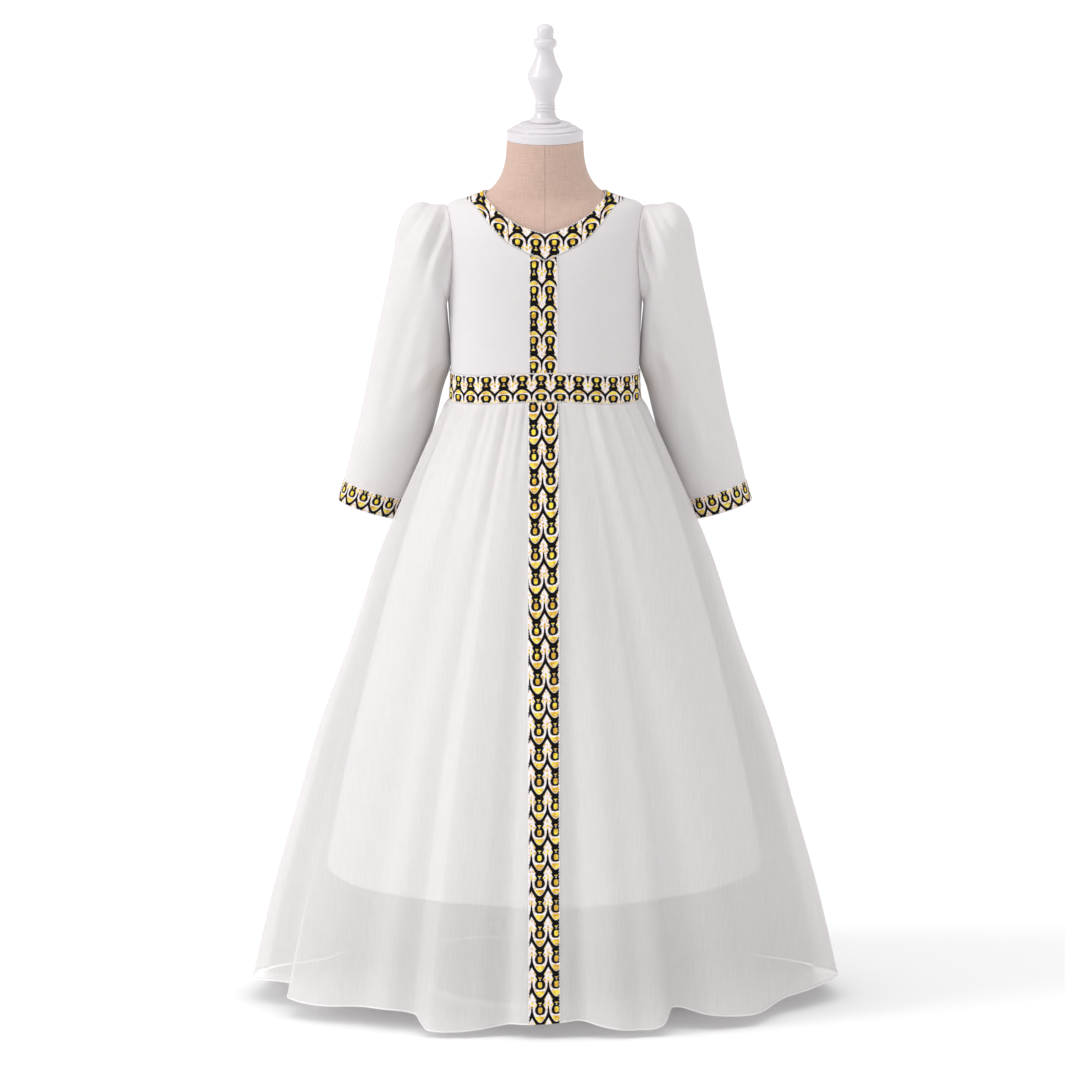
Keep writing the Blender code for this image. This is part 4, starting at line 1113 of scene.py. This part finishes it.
def make_zip_teeth():
    """The coil's teeth, on both sides of the middle of the chain."""
    share = np.linspace(ZIP_TEETH_SHARE, 0.0, 40)
    top = level_of(ZIP_TOP - ZIP_TEETH_UNDER_TOP)
    level = np.linspace(level_of(belt_edge(BACK, 0.0)), top, 80)
    low_out = normal_of(outer_skirt, BACK, share)
    high_out = normal_of(cloth_point, BACK, level)
    low = outer_skirt(BACK, share) + low_out * ZIP_CHAIN_THICK
    high = cloth_point(BACK, level) + high_out * (ZIP_INSET + ZIP_CHAIN_THICK)
    points = np.concatenate((low, high))
    outs = np.concatenate((low_out, high_out))
    lines = [(points + (side, 0.0, 0.0), outs) for side in (-ZIP_TEETH_ASIDE, ZIP_TEETH_ASIDE)]
    sizes = {"Spacing": 0.0013, "Length": 0.0009, "Width": 0.0014, "Height": 0.0008}
    laid_pieces("zip_teeth", lines, sizes, ZIP_NYLON)


def make_bodice():
    neck_shares = edge_rows(NECKBAND_WIDE, count=18)

    def cloth(name, places):
        points = body_cloth(places, CLOTH)
        cloth_wall(name + "_cloth", points, BODICE_THICK, WHITE_CLOTH, "white_cloth")

    def trim(name, places):
        points = body_cloth(places, NECKBAND)
        hem = plain_edges(neck_shares, NECKBAND_WIDE)[:, None]
        uv = neckband_lengths(points) if name == "neckband_front" else None
        sewn(points, rows=STITCHED)
        cloth_wall(name + "_trim", points, TRIM_THICK, NECK_TRIM, "woven_trim", uv=uv, hem=hem)

    cloth("bodice_front", bodice_front_places(columns=121))
    both_halves("bodice_back", bodice_back_places(columns=70), cloth)
    trim("neckband_front", neckband_places(False, 321, neck_shares))
    both_halves("neckband_back", neckband_places(True, 160, neck_shares), trim)
    columns = edge_rows(BODICE_BAND_WIDE, count=19)
    band = body_cloth(bodice_band_places(columns, rows=90), BAND_OVER + BAND_THICK)
    hem = plain_edges(columns, BODICE_BAND_WIDE)
    sewn(band, columns=STITCHED)
    cloth_wall("front_band_bodice_trim", band, BAND_THICK, BODICE_BAND, "woven_trim", hem=hem)


def make_waistband():
    shares = edge_rows(BELT_HEIGHT, count=14)
    rise = ((shares - 0.5) * BELT_HEIGHT)[:, None]
    edge = zip_edge(cloth_point, level_of(belt_edge(BACK, rise)), ZIP_SLOT)
    around = mix(-edge, edge, np.linspace(0.0, 1.0, 341))
    points = body_cloth((around, level_of(belt_edge(around, rise))), WAISTBAND)
    hem = plain_edges(shares, BELT_HEIGHT)[:, None]
    sewn(points, rows=STITCHED)
    cloth_wall("waistband_trim", points, BELT_THICK, BELT_TRIM, "woven_trim", hem=hem)


def skirt_shares(rows):
    """Shares of a skirt's length, closer together at the belt and at the hem."""
    start = np.linspace(0.0, GATHERED_TOP / SKIRT_LENGTH, rows // 3)
    end = 1.0 - np.array((HEM_TURN * 1.4, HEM_TURN, HEM_TURN * 0.5, 0.0)) / SKIRT_LENGTH
    return np.concatenate((start, np.linspace(start[-1], end[0], rows - len(start) - 2)[1:-1], end))


def front_skirt_places(surface, shares, columns):
    share = shares[:, None]
    side = skirt_edge(surface, share, SIDE, SEAM / 2)
    return side * np.linspace(-1.0, 1.0, columns), share + np.zeros(columns)


def back_skirt_places(surface, shares, columns):
    """The +X half of a skirt's back, slit for the zip as far down as ZIP_SHARE."""
    share = shares[:, None]
    side = skirt_edge(surface, share, SIDE, -SEAM / 2)
    back = zip_edge(surface, share, np.where(share <= ZIP_SHARE, ZIP_SLOT, SEAM))
    return mix(side, back, np.linspace(0.0, 1.0, columns)), share + np.zeros(columns)


def skirt_band_places(surface, shares, columns):
    share = shares[:, None]
    left = skirt_edge(surface, share, 0.0, -SKIRT_BAND_LEFT)
    right = skirt_edge(surface, share, 0.0, -SKIRT_BAND_RIGHT - SKIRT_BAND_SPREAD * share)
    return mix(left, right, columns), share + 0 * columns


def make_skirts():
    for name, surface, material, slot, rise, thick, rows, columns in (
        ("skirt", outer_skirt, SKIRT_CLOTH, "sheer_cloth", SHEER, VOILE_THICK, 164, 225),
        ("lining", inner_skirt, LINING_CLOTH, "white_cloth", LINING_RISE, LINING_THICK, 78, 105),
    ):
        shares = skirt_shares(rows)
        hems = np.where(shares > 1.0 - 1.05 * HEM_TURN / SKIRT_LENGTH, 1.0, 0.0)

        def cloth(part, places):
            points = moved_out(surface, *places, rise)[::-1]
            around = np.degrees(np.abs(places[0]))[::-1]
            marks = {"hem": hems[::-1, None], "fullness": smooth((around - 85.0) / 40.0)}
            cloth_wall(part + "_cloth", points, thick, material, slot, **marks)
            sewn(points, rows=STITCHED[:1])

        cloth(name + "_front", front_skirt_places(surface, shares, columns))
        both_halves(name + "_back", back_skirt_places(surface, shares, columns // 2 + 1), cloth)


def make_skirt_band():
    columns = edge_rows(SKIRT_BAND_WIDE, count=19)
    places = skirt_band_places(outer_skirt, np.linspace(0.0, 1.0, 345), columns)
    points = moved_out(outer_skirt, *places, SHEER + SEAM + BAND_THICK)[::-1]
    across, up = lengths(points)
    uv = (across + np.interp(up, DRIFT_UP, DRIFT), up)
    hem = plain_edges(columns, SKIRT_BAND_WIDE)
    sewn(points, columns=STITCHED)
    cloth_wall("front_band_skirt_trim", points, BAND_THICK, SKIRT_BAND, "woven_trim", uv=uv, hem=hem)


def sleeve_loop(ring, grow, count):
    """The points round a sleeve's ring from its outer edge by the front to its inner edge and back."""
    outer = np.array((ring.outer_x, ring.centre_y, ring.outer_z))
    inner = np.array((ring.inner_x, ring.centre_y, ring.inner_z))
    centre = (outer + inner) / 2
    reach = (outer - centre) * (1 + grow / np.linalg.norm(outer - centre))
    angle = np.linspace(0.0, 2 * math.pi, count, endpoint=False)[:, None]
    depth = np.where(np.sin(angle) > 0, ring.front, ring.back) + grow
    return centre + reach * np.cos(angle) + np.array((0.0, -1.0, 0.0)) * depth * np.sin(angle)


def armhole_loop(count):
    """The sleeve's first ring, just outside the bodice's armhole edge."""
    front = refined(armhole_places(False)[::-1], count // 2 + 1)
    behind = refined(armhole_places(True), count // 2 + 1)[1:-1]
    around, level = np.concatenate((front, behind)).T
    return moved_out(cloth_point, around, level, CLOTH) + (SLEEVE_START, 0.0, 0.0)


def around_tube(points):
    """Distances round a tube from its first column, the whole way and the shorter way, and along it from
    its first row, as numbers below 0.
    """
    ringed = np.concatenate((points, points[:, :1]), 1)
    around = run_along(ringed, 1)
    half = around[:, -1:] / 2
    return around, np.where(around > half, around - 2 * half, around), -run_along(ringed, 0)


def sleeve_points(before, behind, count, rows):
    """The +X sleeve's outer face, with the creases of its front and of its back."""
    loops = [armhole_loop(count)] + [sleeve_loop(ring, 0.0, count) for ring in SLEEVE_RINGS]
    head = np.linspace(0.0, 3.0, rows // 3)
    arm = np.linspace(3.0, len(SLEEVE_RINGS), rows * 2 // 3 + 1)[1:]
    position = np.concatenate((head, arm))
    points = np.swapaxes(between(loops, position), 0, 1)
    out = grid_normals(points, True, points.mean(1, keepdims=True))
    _, across, along = around_tube(points)
    across, along = across[:, :-1], along[:, :-1]
    facing = smooth(0.5 - 1.2 * out[..., 1])
    top = smooth(1.2 - np.abs(across) / 95.0)
    reach = top * puckers(across, -along, step=8.5, reach=0.8, length=26.0)
    for share, (gathered, folds) in ((facing, before), (1 - facing, behind)):
        creases = creased(points[..., 0], points[..., 2], gathered, True)
        reach += share * (creases + creased(points[..., 0], points[..., 2], folds, False))
    start = smooth(-along / 5.0) * (1 - 0.8 * np.clip(out[..., 2], 0.0, 1.0) ** 2)
    end = smooth((along - along[-1:].mean()) / 14.0)
    return points + out * (reach * start * end)[..., None]


def mirrored(points):
    return points[:, ::-1] * (-1, 1, 1)


def make_sleeves():
    count = 132
    first = (FIRST_HEAD, FIRST_FOLDS)
    second = (SECOND_HEAD, SECOND_FOLDS)
    last = SLEEVE_RINGS[-1]
    drop = unit(np.array((CUFF_HEM.outer_x - last.outer_x, 0.0, CUFF_HEM.outer_z - last.outer_z)))
    start = sleeve_loop(last, CUFF_PROUD, count) + drop * SEAM
    edges = edge_rows(CUFF_WIDE, count=10)
    cuff = mix(start[None], sleeve_loop(CUFF_HEM, CUFF_PROUD, count)[None], edges[:, None, None])
    cuff_hem = plain_edges(edges, CUFF_WIDE)[:, None]
    for side, before, behind in (("right", second, first), ("left", first, second)):
        sleeve = sleeve_points(before, behind, count, rows=138)
        for part, grid, thick, material, slot, hem in (
            ("sleeve", sleeve, VOILE_THICK, SLEEVE_CLOTH, "sheer_cloth", 0.0),
            ("cuff", cuff, TRIM_THICK, CUFF_TRIM, "woven_trim", cuff_hem),
        ):
            grid = mirrored(grid) if side == "left" else grid
            middle = grid.mean(1, keepdims=True)
            around, _, along = around_tube(grid)
            cloth_wall(
                f"{part}_{side}_cloth", grid, thick, material, slot, closed=True, middle=middle,
                uv=(around, along - along[-1:]), hem=hem,
            )
            if part == "cuff":
                sewn(np.concatenate((grid, grid[:, :2]), 1), rows=STITCHED, middle=middle)


def lathe(name, profile, steps, material, replaced):
    """A turned piece with closed ends, from its lowest radius and height to its highest."""
    angles = np.linspace(0.0, 2 * math.pi, steps, endpoint=False)
    rings = polar(angles[None], profile[:, :1], profile[:, 1:])
    mesh = mesh_of(name, rings, tube_faces(rings), material, sharp=35.0)
    put_in_place(name, mesh, replaced)


def make_torso():
    """The linen-covered dress form."""
    waist = 10.0
    low = np.linspace(0.0, waist, 70)
    high = np.linspace(waist, len(FORM_RINGS) - 1, 110)[1:]
    level = np.concatenate((low, high))[:, None]
    around = np.linspace(0.0, 2 * math.pi, 160, endpoint=False)
    points = form_point(around + 0 * level, level + 0 * around)
    _, across, along = around_tube(points)
    flat = np.stack((across.ravel(), -along.ravel()), -1)
    sides = flat[quads(np.arange(across.size).reshape(across.shape))].reshape(-1, 2)
    corners = np.concatenate((sides, points[0][:, :2], points[-1][:, :2]))
    mesh = mesh_of("form_cover", points, tube_faces(points), LINEN, corners, sharp=40.0)
    put_in_place("form_cover", mesh, "form_torso")


Turn = namedtuple("Turn", "radius height")
NECK_CAP = table(
    Turn,
    (43.7, 992.3), (43.9, 1001), (42.8, 1002.6), (38.8, 1003.4), (38.4, 1005.6), (33, 1008.2),
    (30.5, 1008.6), (30, 1010.6), (26.8, 1011.8), (24, 1012.4),
)
FINIAL = table(
    Turn,
    (17.8, 1012.7), (17.6, 1014.6), (13.6, 1018), (11.6, 1023.5), (11.4, 1025.6), (12.2, 1027.2),
    (11, 1028.8), (11.9, 1031), (10.8, 1033), (11.5, 1035), (10.9, 1037.5), (12.8, 1044),
    (17.2, 1054.5), (19.9, 1062.5), (20.2, 1066.5), (18.6, 1070.5), (14.6, 1078.5), (11.2, 1087.5),
    (9.6, 1095.5), (10.4, 1098), (12.9, 1101), (13.3, 1104), (12.6, 1107.4), (9.6, 1109.6),
    (9.4, 1112), (10, 1117), (8.6, 1122.2), (4.6, 1124.9),
)


def make_stand():
    make_torso()
    lathe("cap_turned", refined(NECK_CAP, 73), 96, WHITE_PAINT, "neck_cap")
    lathe("finial_turned", refined(FINIAL, 190), 72, WHITE_PAINT, "finial")


# Each piece's cut without its seam allowances: width, length and area in metres, how it is held, what
# it rests on or hangs from, and the piece sewn on it.
Cut = namedtuple("Cut", "piece width length area held rests_on sewn_on")


def carry_over(materials):
    """Gives the CAD nodes that stay their materials."""
    for name, material in materials.items():
        node = bpy.data.objects[name]
        for place in node.material_slots:
            place.material = material


# Floor, light and camera

def make_setting():
    mesh = bpy.data.meshes.new("floor")
    mesh.from_pydata([(-40, -40, 0), (40, -40, 0), (40, 40, 0), (-40, 40, 0)], [], [(0, 1, 2, 3)])
    made, _, shader = material_of("floor_white", 0.9)
    shader.inputs["Base Color"].default_value = (0.93, 0.93, 0.93, 1.0)
    mesh.materials.append(made)
    floor = bpy.data.objects.new("floor", mesh)
    bpy.context.scene.collection.objects.link(floor)

    world = bpy.data.worlds.new("studio")
    bpy.context.scene.world = world
    world.use_nodes = True
    background = world.node_tree.nodes["Background"]
    background.inputs["Color"].default_value = (1.0, 0.99, 0.99, 1.0)
    seen = world.node_tree.nodes.new("ShaderNodeLightPath").outputs["Is Camera Ray"]
    brightness = world.node_tree.nodes.new("ShaderNodeMapRange")
    brightness.inputs["To Min"].default_value = LIGHTING_BRIGHTNESS
    brightness.inputs["To Max"].default_value = SEEN_BRIGHTNESS
    world.node_tree.links.new(seen, brightness.inputs["Value"])
    world.node_tree.links.new(brightness.outputs["Result"], background.inputs["Strength"])
    for name, aim, softness, strength in (
        ("key_light", (1.0, 0.32, -0.5), 30.0, 1.25),
        ("top_light", (0.0, 0.1, -1.0), 80.0, 1.2),
    ):
        light = bpy.data.lights.new(name, "SUN")
        light.angle = math.radians(softness)
        light.energy = strength
        lamp = bpy.data.objects.new(name, light)
        lamp.rotation_euler = Vector(aim).to_track_quat("-Z", "Y").to_euler()
        bpy.context.scene.collection.objects.link(lamp)
    bpy.context.scene.view_settings.view_transform = "Standard"


def make_camera():
    lens = SENSOR_WIDTH * CAMERA_DISTANCE / VIEW_WIDTH
    rise = math.radians(CAMERA_ELEVATION)
    away = Vector((0.0, -math.cos(rise), math.sin(rise))) * CAMERA_DISTANCE
    data = bpy.data.cameras.new("camera")
    data.lens = lens
    data.sensor_width = SENSOR_WIDTH
    data.clip_end = 100.0
    camera = bpy.data.objects.new("camera", data)
    camera.location = Vector(CAMERA_AIM) + away
    camera.rotation_euler = (-away).to_track_quat("-Z", "Y").to_euler()
    bpy.context.scene.collection.objects.link(camera)
    bpy.context.scene.camera = camera


make_camera()
make_setting()
make_stand()
make_bodice()
make_waistband()
make_skirts()
make_skirt_band()
make_sleeves()
make_stitches()
make_zip_teeth()
carry_over({
    "pole": PAINTED_STEEL,
    "base": PAINTED_STEEL,
    "zip_chain": ZIP_NYLON,
    "zip_slider": ZIP_METAL,
    "zip_pull": ZIP_METAL,
})
